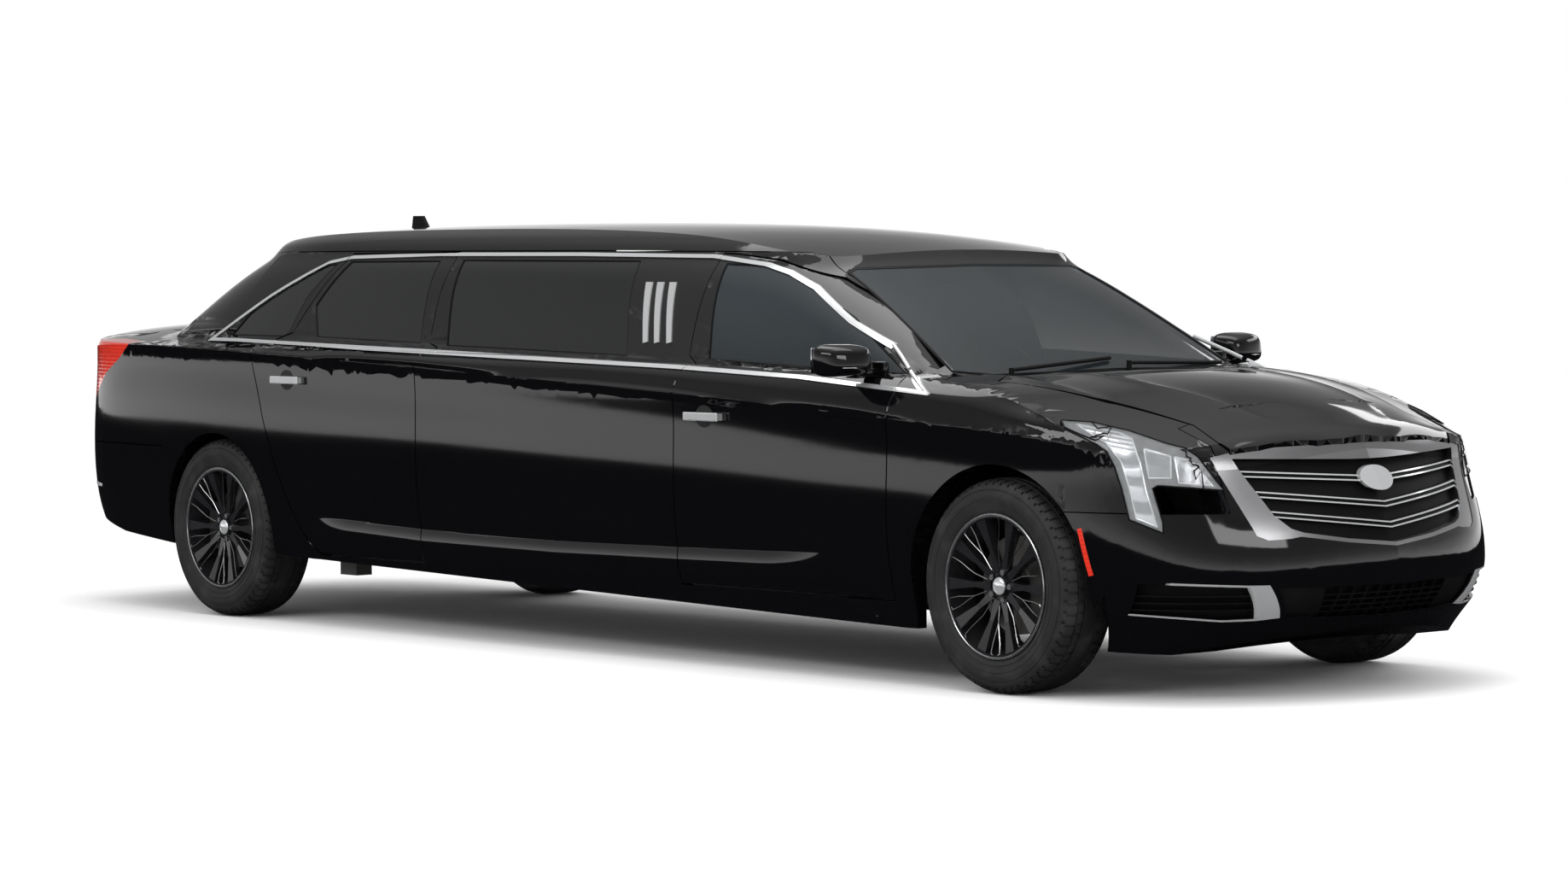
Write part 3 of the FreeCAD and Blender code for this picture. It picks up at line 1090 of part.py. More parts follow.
def exhaust():
    """Pipe under the tunnel, silencer behind the rear axle and a tail pipe."""
    y = -EXHAUST_Y
    x_front = FRONT_AXLE - 3.3 * DISC_RADIUS
    x_rear = REAR_AXLE - TYRE_RADIUS * 0.8
    x_hang = REAR_AXLE + HOUSE_RADIUS
    pipe = Part.makeCylinder(EXHAUST_RADIUS, x_front - x_rear, V(x_rear, y, EXHAUST_LEVEL), V(1, 0, 0))
    rise = tube(V(x_rear, y, EXHAUST_LEVEL), V(REAR_AXLE - TYRE_RADIUS * 1.2, y, EXHAUST_HANG), EXHAUST_RADIUS)
    silencer = Part.makeCylinder(MUFFLER_RADIUS, TYRE_RADIUS * 1.5,
                                 V(REAR_AXLE - TYRE_RADIUS * 2.7, y, EXHAUST_HANG), V(1, 0, 0))
    knee = Part.makeSphere(EXHAUST_RADIUS, V(x_rear, y, EXHAUST_LEVEL))
    hangers = []
    for share in (0.15, 0.5, 0.85):
        x = x_hang + (x_front - x_hang) * share
        hangers.append(box(x - EXHAUST_RADIUS / 3, x + EXHAUST_RADIUS / 3, y - EXHAUST_RADIUS / 2,
                           y + EXHAUST_RADIUS / 2, EXHAUST_LEVEL, FLOOR_TOP - FLOOR_PLATE - FIT))
    strap = box(REAR_AXLE - TYRE_RADIUS * 2.0, REAR_AXLE - TYRE_RADIUS * 1.9, y - EXHAUST_RADIUS,
                y + EXHAUST_RADIUS, EXHAUST_HANG, BOOT_FLOOR_TOP - FLOOR_PLATE - FIT)
    return fused([pipe, rise, silencer, knee, strap] + hangers)


EXHAUST_HANG = 300.0
LINER = 4.0
LINER_HOLE_SHARE = 1.35
LINER_GAP = 2.0
FIREWALL_HALF = 745.0


def floor_pan():
    """Floor plate with tunnel, firewall, rear bulkhead, boot floor and the cross member over the engine."""
    room = under_top(body_block(LOWER_WALL + LINER_GAP), SKIN + LINER_GAP)
    low = FLOOR_TOP - FLOOR_PLATE
    kick = REAR_AXLE + HOUSE_RADIUS
    plate = box(kick, station(FIREWALL_SHARE) + TYRE_RADIUS, -LENGTH, LENGTH, low, FLOOR_TOP)
    riser = box(kick, kick + FLOOR_PLATE, -LENGTH, LENGTH, low, KICK_TOP)
    shelf = box(station(SEAT_BULKHEAD_SHARE), kick + FLOOR_PLATE, -LENGTH, LENGTH, KICK_TOP - FLOOR_PLATE, KICK_TOP)
    firewall = box(station(FIREWALL_SHARE), station(FIREWALL_SHARE) + BULKHEAD, -FIREWALL_HALF, FIREWALL_HALF, low,
                   BULKHEAD_TOP)
    bulkhead = box(station(SEAT_BULKHEAD_SHARE), station(SEAT_BULKHEAD_SHARE) + BULKHEAD, -LENGTH, LENGTH,
                   BOOT_FLOOR_TOP - FLOOR_PLATE, BULKHEAD_TOP)
    boot = box(station(BOOT_END_SHARE), station(SEAT_BULKHEAD_SHARE) + BULKHEAD, -LENGTH, LENGTH,
               BOOT_FLOOR_TOP - FLOOR_PLATE, BOOT_FLOOR_TOP)
    tunnel = box(kick, station(FIREWALL_SHARE), -TUNNEL_HALF, TUNNEL_HALF, low, TUNNEL_TOP)
    hollow = box(-LENGTH, LENGTH, -TUNNEL_HALF + FLOOR_PLATE, TUNNEL_HALF - FLOOR_PLATE, 0, TUNNEL_TOP - FLOOR_PLATE)
    solid = fused([plate, riser, shelf, firewall, bulkhead, boot, tunnel]).cut([hollow] + wheel_houses())
    rails = []
    for side in (1, -1):
        rails.append(box(station(FIREWALL_SHARE), station(RAIL_END_SHARE), side * RAIL_IN_Y - RAIL_HALF,
                         side * RAIL_IN_Y + RAIL_HALF, RAIL_TOP - RAIL_HALF * 3, RAIL_TOP))
    solid = solids_over(solid.fuse(rails).common(room), SMALLEST_PIECE)
    pads = []
    for s in (JACK_FRONT_SHARE, JACK_REAR_SHARE):
        for y in (JACK_Y, -JACK_Y):
            pads.append(box(station(s) - JACK_PAD / 2, station(s) + JACK_PAD / 2, y - JACK_PAD / 3, y + JACK_PAD / 3,
                            JACK_LEVEL, low))
    return solid.fuse(pads + floor_tabs())


def floor_tabs():
    """Ends of the floor plate that sit in slots of the side walls."""
    tabs = []
    for s in FLOOR_TAB_SHARES:
        for side in (1, -1):
            ends = sorted((side * (JACK_Y - JACK_PAD / 2), side * (JACK_Y + JACK_PAD / 2)))
            tabs.append(box(station(s) - JACK_PAD / 2, station(s) + JACK_PAD / 2, ends[0], ends[1],
                            FLOOR_TOP - FLOOR_PLATE, FLOOR_TOP))
    return tabs


FLOOR_TAB_SHARES = (0.35, 0.50)
JACK_PAD = 110.0
JACK_Y = 770.0
JACK_LEVEL = 200.0
JACK_FRONT_SHARE = (1700.0 - REAR_AXLE) / WHEELBASE
JACK_REAR_SHARE = (-1350.0 - REAR_AXLE) / WHEELBASE


BOOT_END_SHARE = -0.90
RAIL_END_SHARE = 1.70
RAIL_IN_Y = 375.0
RAIL_TOP = 560.0


def wheel_liners():
    """Arched liners inside the wheel houses, each with tabs up to the body."""
    liners = []
    for x in (FRONT_AXLE, REAR_AXLE):
        radius = HOUSE_RADIUS - LINER_GAP
        ring = cylinder_y(radius, x, TYRE_RADIUS, HOUSE_INNER + LINER, HOUSE_OUTER)
        ring = ring.cut(cylinder_y(radius - LINER, x, TYRE_RADIUS, 0, LENGTH))
        ring = ring.cut(box(x - LENGTH, x + LENGTH, 0, LENGTH, -HEIGHT, TYRE_RADIUS + LINER))
        if x == FRONT_AXLE:
            ring = ring.cut(tube(kingpin(KNUCKLE_HIGH), kingpin(2 * STRUT_TOP), SPRING_RADIUS * LINER_HOLE_SHARE))
        else:
            ring = ring.cut(Part.makeCylinder(SPRING_RADIUS, HEIGHT, V(x - KNUCKLE_HALF, DAMPER_Y, 0)))
        liners.append(ring)
    return Part.makeCompound(liners + [mirrored(part) for part in liners])


# Cabin
SEAT_WIDTH = 520.0
SEAT_DEPTH = 520.0
SEAT_THICK = 170.0
SEAT_LEVEL = 585.0
SEAT_BACK_HIGH = 620.0
SEAT_BACK_THICK = 150.0
SEAT_RAKE = 20.0
SEAT_ROUND = 34.0
SOFT_SHARE = 0.7
SEAT_BASE_SHARE = 0.7
HEADREST = (230.0, 90.0, 170.0)
FRONT_SEAT_SHARE = 0.715
FRONT_SEAT_Y = 360.0
REAR_SEAT_SHARE = 0.150
REAR_SEAT_HALF = 600.0
SIDE_SEAT_SHARES = (0.325, 0.60)
DASH_DEPTH = 330.0


def soft_block(x0, x1, y0, y1, z0, z1, radius):
    block = box(x0, x1, y0, y1, z0, z1)
    return block.makeChamfer(radius * SOFT_SHARE, block.Edges)


def seat(x, y, half, rest):
    """Cushion on a base, raked back, and headrests on their posts."""
    inner = y - half * SEAT_BASE_SHARE if y else TUNNEL_HALF + GAP
    base = box(x + SEAT_DEPTH * 0.12, x + SEAT_DEPTH * 0.88, inner, y + half * SEAT_BASE_SHARE, FLOOR_TOP + FIT,
               SEAT_LEVEL - SEAT_THICK * 0.5)
    cushion = soft_block(x, x + SEAT_DEPTH, y - half, y + half, SEAT_LEVEL - SEAT_THICK, SEAT_LEVEL, SEAT_ROUND)
    back = soft_block(x - SEAT_BACK_THICK, x, y - half, y + half, SEAT_LEVEL - SEAT_THICK * 0.7,
                      SEAT_LEVEL + SEAT_BACK_HIGH - SEAT_THICK, SEAT_ROUND)
    back.translate(V(SEAT_BACK_THICK * 0.35, 0, 0))
    pieces = [base, cushion] if y else [base, mirrored(base), cushion]
    upper = [back]
    for offset in rest:
        wide_, deep, tall = HEADREST
        top = SEAT_LEVEL + SEAT_BACK_HIGH - SEAT_THICK
        head = soft_block(x - deep, x, y + offset - wide_ / 2, y + offset + wide_ / 2, top + SEAT_ROUND,
                          top + SEAT_ROUND + tall, SEAT_ROUND)
        post = Part.makeCylinder(SEAT_ROUND / 3, SEAT_ROUND * 3, V(x - deep / 2, y + offset, top - SEAT_ROUND))
        upper += [head, post]
    lean = fused(upper)
    lean.rotate(V(x, 0, SEAT_LEVEL - SEAT_THICK / 2), V(0, 1, 0), -SEAT_RAKE)
    return fused(pieces + [lean])


def front_seats():
    x = station(FRONT_SEAT_SHARE)
    one = seat(x, FRONT_SEAT_Y, SEAT_WIDTH / 2, (0,))
    return both(one)


def rear_seats():
    """Bench across the rear and a bench along the left side."""
    bench = seat(station(REAR_SEAT_SHARE), 0, REAR_SEAT_HALF, (-REAR_SEAT_HALF * 0.6, REAR_SEAT_HALF * 0.6))
    x0, x1 = (station(share) for share in SIDE_SEAT_SHARES)
    y1 = REAR_SEAT_HALF + SEAT_ROUND * 3
    base = box(x0 + SEAT_ROUND, x1 - SEAT_ROUND, y1 - SEAT_DEPTH * 0.8, y1 - SEAT_ROUND, FLOOR_TOP + FIT,
               SEAT_LEVEL - SEAT_THICK * 0.5)
    cushion = soft_block(x0, x1, y1 - SEAT_DEPTH * 0.9, y1, SEAT_LEVEL - SEAT_THICK, SEAT_LEVEL, SEAT_ROUND)
    back = soft_block(x0, x1, y1 - SEAT_BACK_THICK * 0.7, y1, SEAT_LEVEL - SEAT_THICK, SEAT_LEVEL + SEAT_BACK_HIGH * 0.45,
                      SEAT_ROUND)
    return Part.makeCompound([bench, fused([base, cushion, back])])


def dashboard():
    """Padded top with a binnacle, a centre stack and a steering column tube."""
    x1 = station(FIREWALL_SHARE) - FIT
    half = wide(0.80)
    outline = [V(x1, -half, BULKHEAD_TOP - 380), V(x1, -half, BULKHEAD_TOP), V(x1 - DASH_DEPTH * 0.55, -half, BULKHEAD_TOP + 10),
               V(x1 - DASH_DEPTH, -half, BULKHEAD_TOP - 90), V(x1 - DASH_DEPTH * 0.8, -half, BULKHEAD_TOP - 275)]
    pad = face_of(outline).extrude(V(0, 2 * half, 0))
    stack = box(x1 - DASH_DEPTH * 0.7, x1 - DASH_DEPTH * 0.3, -TUNNEL_HALF * 0.55, TUNNEL_HALF * 0.55,
                TUNNEL_TOP + FIT, BULKHEAD_TOP - 150)
    column = tube(WHEEL_CENTRE - COLUMN * COLUMN_START, WHEEL_CENTRE - COLUMN * COLUMN_END, COLUMN_RADIUS)
    bore = tube(WHEEL_CENTRE, WHEEL_CENTRE - COLUMN * (COLUMN_START + COLUMN_BORE + GAP),
                COLUMN_SHAFT_RADIUS + SHAFT_CLEARANCE)
    return fused([pad, stack, column]).cut(bore)


COLUMN = V(-0.92, 0, 0.39).normalize()
COLUMN_START = 18.0
COLUMN_END = 260.0
COLUMN_BORE = 60.0
COLUMN_RADIUS = 28.0
COLUMN_SHAFT_RADIUS = 11.0
WHEEL_CENTRE = V(station(0.875) - 480, FRONT_SEAT_Y, BULKHEAD_TOP - 30)
WHEEL_RADIUS = 185.0
WHEEL_GRIP = 15.0


def steering_wheel():
    ring = Part.makeTorus(WHEEL_RADIUS, WHEEL_GRIP, WHEEL_CENTRE, COLUMN)
    boss = Part.makeCylinder(60, 36, WHEEL_CENTRE - COLUMN * 6.0, COLUMN)
    shaft = tube(WHEEL_CENTRE, WHEEL_CENTRE - COLUMN * (COLUMN_START + COLUMN_BORE), COLUMN_SHAFT_RADIUS)
    side = V(0, 1, 0)
    down = COLUMN.cross(side)
    spokes = []
    for direction in (side, side * -1, down):
        spokes.append(tube(WHEEL_CENTRE + COLUMN * 12, WHEEL_CENTRE + COLUMN * 4 + direction * WHEEL_RADIUS, WHEEL_GRIP * 0.7))
    return fused([ring, boss, shaft] + spokes)


def mirror(outer):
    """Left door mirror: shell on an arm from the front corner of the door window."""
    x = station(0.852)
    y = wide(1.045)
    shell = soft_block(x - 75, x + 75, y - 80, y + 85, high(0.668), high(0.735), 30)
    arm = box(x - 30, x + 30, wide(0.875), y, high(0.660), high(0.675))
    return largest(shell.fuse(arm).cut(outer))


GRILLE_SET = 8.0


# Trim and small fittings
TRIM = 6.0
BELT_TRIM = 18.0
HANDLE_LENGTH = 190.0
HANDLE_HIGH = 30.0
HANDLE_THICK = 12.0
HANDLE_OUT = 34.0
HANDLE_SHARES = {"front": (0.680, 0.564), "rear": (0.1166, 0.615)}
ANTENNA_SHARE = 0.035
WIPER_SHARE = 0.9268


def trim_skin(outer, proud):
    """Thin layer over the outside of the body and greenhouse."""
    lifted = under_top(body_block(-proud), -proud).fuse(under_roof(glasshouse_block(-proud)))
    return lifted.cut(outer)


def handle(place):
    """Pull handle on two stand-offs from the door skin."""
    s, h = HANDLE_SHARES[place]
    x, z = station(s), high(h)
    y = wide(0.985)
    bar = soft_block(x - HANDLE_LENGTH / 2, x + HANDLE_LENGTH / 2, y + HANDLE_OUT - HANDLE_THICK, y + HANDLE_OUT,
                     z - HANDLE_HIGH / 2, z + HANDLE_HIGH / 2, HANDLE_THICK * 0.45)
    feet = []
    for share in (-0.40, 0.40):
        c = x + share * HANDLE_LENGTH
        feet.append(box(c - HANDLE_THICK, c + HANDLE_THICK, y - HANDLE_OUT, y + HANDLE_OUT - HANDLE_THICK / 2,
                        z - HANDLE_THICK, z + HANDLE_THICK))
    return bar.fuse(feet)


def brightwork(outer):
    """Bright surround of the side windows, split at the doors, with handles and the rear panel ornaments."""
    surround = side_prism(DAYLIGHT_SHARES, 0, DOOR_SHEAR).cut(side_prism(DAYLIGHT_SHARES, -TRIM_BAND, DOOR_SHEAR))
    cowl = box(station(TRIM_TIP_SHARE), LENGTH, 0, wide(TRIM_TIP_HALF_SHARE), 0, 2 * HEIGHT)
    surround = trim_skin(outer, TRIM).common(surround).cut(cowl)
    fixed = surround
    for place, outline in (("front", FRONT_DOOR), ("rear", REAR_DOOR)):
        strips = [s for s in surround.common(side_prism(outline, -FIT, DOOR_SHEAR)).Solids if s.Volume > TRIM_LEAST]
        grip = largest(handle(place).cut(outer))
        part = Part.makeCompound(strips + [grip])
        save("door_brightwork_%s_left" % place, part)
        save("door_brightwork_%s_right" % place, mirrored(part))
        fixed = fixed.cut(side_prism(outline, GAP + FIT, DOOR_SHEAR))
    pieces = [s for s in fixed.Solids if s.Volume > TRIM_LEAST]
    skin = trim_skin(outer, ORNAMENT_PROUD)
    for offset in ORNAMENT_OFFSETS:
        outline = [(s + offset, h) for s, h in ORNAMENT_SHARES]
        pieces.append(largest(skin.common(side_prism(outline))))
    save("window_trim", Part.makeCompound(pieces + [mirrored(piece) for piece in pieces]))


DAYLIGHT_SHARES = [
    (-0.172, 0.7065), (0.0, 0.7065), (0.29, 0.6905), (0.63, 0.6690), (0.78, 0.6540), (0.926, 0.6265), (0.9265, 0.6300),
    (0.8021, 0.7830), (0.7526, 0.8570), (0.720, 0.8900), (0.690, 0.9090), (0.6258, 0.9275), (0.46, 0.9325),
    (0.2686, 0.9330), (0.140, 0.9260), (0.108, 0.9130), (0.0391, 0.8280)]
TRIM_BAND = 13.0
TRIM_TIP_SHARE = 0.85
TRIM_TIP_HALF_SHARE = 0.80
TRIM_LEAST = 50.0
ORNAMENT_PROUD = 5.0
ORNAMENT_SHARES = [(0.5575, 0.864), (0.5655, 0.864), (0.5790, 0.727), (0.5735, 0.724)]
ORNAMENT_OFFSETS = (0.0, 0.0140, 0.0290)


def antenna(outer):
    x = station(ANTENNA_SHARE)
    fin = face_of([V(x, -8, high(0.97)), V(x, -8, high(1.022)), V(x - 60, -8, high(1.022)), V(x + 90, -8, high(0.97))])
    foot = face_of([V(x - 60, -8, high(0.96)), V(x + 100, -8, high(0.96)), V(x + 20, -8, high(1.026)),
                    V(x - 40, -8, high(1.026))])
    return largest(foot.extrude(V(0, 16, 0)).cut(outer))


def surface_level(outer, x, y):
    """Height of the outside of the car over a place in plan."""
    probe = Part.makeLine(V(x, y, 0), V(x, y, 2 * HEIGHT))
    return outer.common(probe).BoundBox.ZMax


def wipers(outer):
    """Two wiper arms parked along the foot of the windshield, each on a pivot that stands on the cowl."""
    arms = []
    for y0, y1 in WIPER_SPANS:
        foot = station(WIPER_SHARE)
        tip = station(WIPER_TIP_SHARE)
        a = V(foot, wide(y0), surface_level(outer, foot, wide(y0)) + WIPER_LIFT)
        b = V(tip, wide(y1), surface_level(outer, tip, wide(y1)) + WIPER_LIFT)
        post = tube(a - V(0, 0, WIPER_POST), a + V(0, 0, WIPER_ROUND), WIPER_ROUND * 1.4)
        arms.append(tube(a, b, WIPER_ROUND).fuse(post))
    ground = [under_roof(glasshouse_block(GLASS_SET))]
    ground += [NODES[name] for name in ("windshield", "cross_panels", "hood", "body_side_left", "body_side_right")]
    return Part.makeCompound([largest(arm.cut(ground)) for arm in arms])


WIPER_SPANS = ((-0.54, 0.03), (0.06, 0.62))
WIPER_TIP_SHARE = 0.912
WIPER_LIFT = 9.0
WIPER_POST = 40.0
WIPER_ROUND = 7.0


def fuel_tank():
    x = REAR_AXLE + TYRE_RADIUS * 2.0
    return box(x, x + TANK_LENGTH, SHAFT_RADIUS * 3.5, SHAFT_RADIUS * 3.5 + TANK_HALF, RAIL_LEVEL - RAIL_HALF * 1.5,
               FLOOR_TOP - FLOOR_PLATE - FIT)


def main():
    os.makedirs("parts", exist_ok=True)
    body_panels()
    outer = under_top(body_block()).fuse(under_roof(glasshouse_block()))
    brightwork(outer)
    save("antenna", antenna(outer))
    save("wipers", wipers(outer))
    save("fuel_tank", fuel_tank())
    wheels()
    save("knuckle_left", knuckle())
    save("knuckle_right", mirrored(knuckle()))
    save("front_suspension", front_suspension())
    save("rear_suspension", rear_suspension())
    save("drivetrain", Part.makeCompound([engine(), drive_line()]))
    save("exhaust", exhaust())
    save("floor_pan", floor_pan())
    save("wheel_liners", wheel_liners())
    save("front_seats", front_seats())
    save("rear_seats", rear_seats())
    save("dashboard", dashboard())
    save("steering_wheel", steering_wheel())
    save("mirror_left", mirror(outer))
    save("mirror_right", mirrored(mirror(outer)))


if __name__ == "__main__":
    main()
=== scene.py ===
"""Looks of a black stretch limousine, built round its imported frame."""

import json
import math

import bmesh
import bpy
import numpy
from mathutils import Matrix, Vector


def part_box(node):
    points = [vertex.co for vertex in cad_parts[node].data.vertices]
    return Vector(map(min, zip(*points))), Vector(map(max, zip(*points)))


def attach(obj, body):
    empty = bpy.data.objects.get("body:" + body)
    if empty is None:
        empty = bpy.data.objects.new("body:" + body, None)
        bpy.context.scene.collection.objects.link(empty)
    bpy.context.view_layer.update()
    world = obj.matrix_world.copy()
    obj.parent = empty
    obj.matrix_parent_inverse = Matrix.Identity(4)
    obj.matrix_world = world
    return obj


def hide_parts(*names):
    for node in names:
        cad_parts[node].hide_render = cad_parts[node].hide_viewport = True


bl_info = {
    "name": "Stretch limousine looks",
    "version": (1, 0, 0),
    "blender": (4, 5, 0),
    "location": "View3D > Sidebar > Limousine",
    "description": "Dresses the stretch limousine frame with its finishes, wheels, lamps, trim and seats",
    "category": "Object",
}

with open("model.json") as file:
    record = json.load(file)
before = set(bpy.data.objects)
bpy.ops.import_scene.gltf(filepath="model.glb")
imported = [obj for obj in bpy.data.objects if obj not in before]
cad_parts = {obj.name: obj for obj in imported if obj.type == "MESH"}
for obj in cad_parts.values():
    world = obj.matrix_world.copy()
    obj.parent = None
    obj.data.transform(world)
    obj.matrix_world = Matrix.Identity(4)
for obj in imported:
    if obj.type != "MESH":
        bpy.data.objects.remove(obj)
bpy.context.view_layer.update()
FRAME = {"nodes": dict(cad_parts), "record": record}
NODES = FRAME["nodes"]

WHEELS = ("front_left", "front_right", "rear_left", "rear_right")
TYRE_LOW, TYRE_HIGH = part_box("tyre_front_left")
TYRE_RADIUS = (TYRE_HIGH.z - TYRE_LOW.z) / 2
TYRE_WIDTH = TYRE_HIGH.y - TYRE_LOW.y
FRONT_WHEEL = (TYRE_LOW + TYRE_HIGH) / 2
REAR_WHEEL = sum(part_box("tyre_rear_left"), Vector()) / 2
WHEELBASE = FRONT_WHEEL.x - REAR_WHEEL.x
BODY_OF = {node: body for body, group in FRAME["record"]["behaviour"]["bodies"].items() for node in group}

# Overhangs before and behind the axles, half width and height of the body
NOSE, TAIL, HALF, HEIGHT = 0.985, 1.340, 0.926, 1.566
# Handles: their stations and shares of the height, and the half axes of the dull cup behind each
HANDLE_SPOTS = ((0.680, 0.564), (0.1166, 0.615))
HANDLE_SHIFT, CUP_REACH, CUP_RISE = 0.012, 0.050, 0.040
# Fall of the belt line towards the nose, and where the side's shading fades in at the tail
BELT_SLOPE = 0.0214
SHOULDER_ENDS = (-3.15, -2.95)
LAMP_FACING = (0.72, 0.62, 0.30)
# Mirror case: where it begins beside the door, and its foot on the door
MIRROR_ROOT, MIRROR_FOOT = 0.858, 0.800
# Seats: lean of the backs in degrees, heights of cushion, pivot and base, and stations
SEAT_LEAN = -20.0
SEAT_LOW, SEAT_HIGH, SEAT_PIVOT = 0.415, 0.585, 0.50
BASE_LOW, BASE_HIGH = 0.3005, 0.470
FRONT_SEAT, REAR_SEAT, BENCH = 0.715, 0.15, (0.325, 0.60)
# Cloth simulation of the pads
PAD_FRAMES, PAD_PRESSURE = 20, 4.0
# Stage: camera solved from the photograph, where the floor turns white to the camera and to reflections (nearer
# in, reflections see it near-black, a painted dark reflection), and the sky that paint reflects
CAMERA_PLACE = (14.150373, -11.591959, 1.545424)
CAMERA_TURN = (2.442878, -0.045058, -0.0083538)
CAMERA_LENS = 110.30
FLOOR_SEEN, FLOOR_MIRRORED = (5.5, 12.0), (70.0, 78.0)
SKY_STOPS = ((0.0, 0.47), (0.12, 0.47), (0.16, 0.33), (0.22, 0.19), (0.30, 0.12), (0.38, 0.10), (0.62, 0.08),
             (0.8, 0.16), (1.0, 0.30))


def station(share):
    """Place along X of a station: -1 tail, 0 rear axle, 1 front axle, 2 nose."""
    if share > 1:
        return FRONT_WHEEL.x + (share - 1) * NOSE
    if share < 0:
        return REAR_WHEEL.x + share * TAIL
    return REAR_WHEEL.x + share * WHEELBASE


# Shader graphs
class Level:
    """A shader socket that takes part in Python expressions."""

    def __init__(self, graph, socket):
        self.graph = graph
        self.socket = socket

    def math(self, operation, *others, swap=False):
        values = [self, *others]
        if swap:
            values.reverse()
        return self.graph.node("ShaderNodeMath", {"operation": operation}, dict(enumerate(values)))

    __add__ = __radd__ = lambda self, other: self.math("ADD", other)
    __mul__ = __rmul__ = lambda self, other: self.math("MULTIPLY", other)
    __sub__ = lambda self, other: self.math("SUBTRACT", other)
    __rsub__ = lambda self, other: self.math("SUBTRACT", other, swap=True)
    __truediv__ = lambda self, other: self.math("DIVIDE", other)
    __abs__ = lambda self: self.math("ABSOLUTE")
    least = lambda self, other: self.math("MINIMUM", other)
    most = lambda self, other: self.math("MAXIMUM", other)

    def step(self, low, high):
        """0 below the first value, 1 above the second and smooth between them."""
        settings = {"interpolation_type": "SMOOTHSTEP"}
        inputs = {"Value": self, "From Min": low, "From Max": high}
        return self.graph.node("ShaderNodeMapRange", settings, inputs)


class Graph:
    """A node tree that is filled one node at a time."""

    def __init__(self, tree):
        self.tree = tree
        tree.nodes.clear()

    def raw(self, kind, settings=None, inputs=None):
        made = self.tree.nodes.new(kind)
        for key, value in (settings or {}).items():
            if key == "stops":
                ramp = made.color_ramp.elements
                while len(ramp) < len(value):
                    ramp.new(0.5)
                for stop, (place, tone) in zip(ramp, value):
                    stop.position = place
                    stop.color = (tone, tone, tone, 1.0) if isinstance(tone, float) else (*tone, 1.0)
            else:
                setattr(made, key, value)
        for key, value in (inputs or {}).items():
            if isinstance(value, Level):
                self.tree.links.new(value.socket, made.inputs[key])
            else:
                made.inputs[key].default_value = value
        return made

    def node(self, kind, settings=None, inputs=None, output=0):
        return Level(self, self.raw(kind, settings, inputs).outputs[output])

    def place(self):
        """The X, Y and Z of a point on the object, in metres."""
        spot = self.node("ShaderNodeTexCoord", output="Object")
        parts = self.raw("ShaderNodeSeparateXYZ", None, {"Vector": spot})
        return [spot] + [Level(self, parts.outputs[axis]) for axis in "XYZ"]

    def noise(self, spot, scale, detail=3.0, rough=0.5):
        return self.node("ShaderNodeTexNoise", None,
                         {"Vector": spot, "Scale": scale, "Detail": detail, "Roughness": rough}, "Fac")

    def blend(self, mask, first, second):
        """Colour that goes from the first to the second as the mask rises."""
        keys = {"Factor": mask, 6: opaque(first), 7: opaque(second)}
        return self.node("ShaderNodeMix", {"data_type": "RGBA"}, keys, 2)

    def bump(self, height, strength, distance):
        return self.node("ShaderNodeBump", None, {"Height": height, "Strength": strength, "Distance": distance})


def opaque(colour):
    """A colour with its alpha, or a link as it is."""
    return colour if isinstance(colour, Level) else (*colour[:3], 1.0)


def surface(name, build, **fixed):
    """A material whose Principled shader takes fixed numbers and the links that build returns."""
    found = bpy.data.materials.get(name)
    if found:
        return found
    material = bpy.data.materials.new(name)
    material.use_nodes = True
    graph = Graph(material.node_tree)
    inputs = {key.replace("_", " "): value for key, value in fixed.items()}
    inputs.update(build(graph, *graph.place()))
    shader = graph.node("ShaderNodeBsdfPrincipled", None, inputs)
    graph.raw("ShaderNodeOutputMaterial", None, {"Surface": shader})
    return material


def finish(name, **fixed):
    """Turns a function that links a shader's inputs into one that gives the finished material."""
    return lambda build: lambda: surface(name, build, **fixed)


def colour_prop(name, text, value):
    return bpy.props.FloatVectorProperty(name=name, description=text, default=value, size=3, subtype="COLOR",
                                         min=0.0, max=1.0)


def length_prop(name, text, value):
    return bpy.props.FloatProperty(name=name, description=text, default=value, unit="LENGTH")


class LimousineColours(bpy.types.PropertyGroup):
    paint: colour_prop("Paint", "Gloss black of the body", (0.0016, 0.0016, 0.0020))
    satin: colour_prop("Pillars", "Satin black of the pillars between the side windows", (0.005, 0.005, 0.0055))
    chrome: colour_prop("Chrome", "Bright trim", (0.86, 0.87, 0.88))
    satin_trim: colour_prop("Satin trim", "Satin metal of the grille frame", (0.42, 0.42, 0.43))
    privacy: colour_prop("Privacy glass", "Dark glass of the rear windows", (0.006, 0.0065, 0.007))
    screen: colour_prop("Windshield", "Tint of the windshield", (0.020, 0.026, 0.030))
    rubber: colour_prop("Rubber", "Tyre rubber", (0.011, 0.011, 0.012))
    alloy: colour_prop("Wheel", "Dark wheel finish", (0.016, 0.016, 0.018))
    lamp_red: colour_prop("Red lamps", "Tail lamps and side markers", (0.62, 0.030, 0.012))
    leather: colour_prop("Leather", "Seat leather", (0.030, 0.022, 0.018))
    carpet: colour_prop("Carpet", "Floor carpet", (0.012, 0.012, 0.013))
    plastic: colour_prop("Black plastic", "Grille slats, liners and wipers", (0.0025, 0.0025, 0.003))
    floor: colour_prop("Floor", "Pale studio floor", (0.97, 0.97, 0.97))


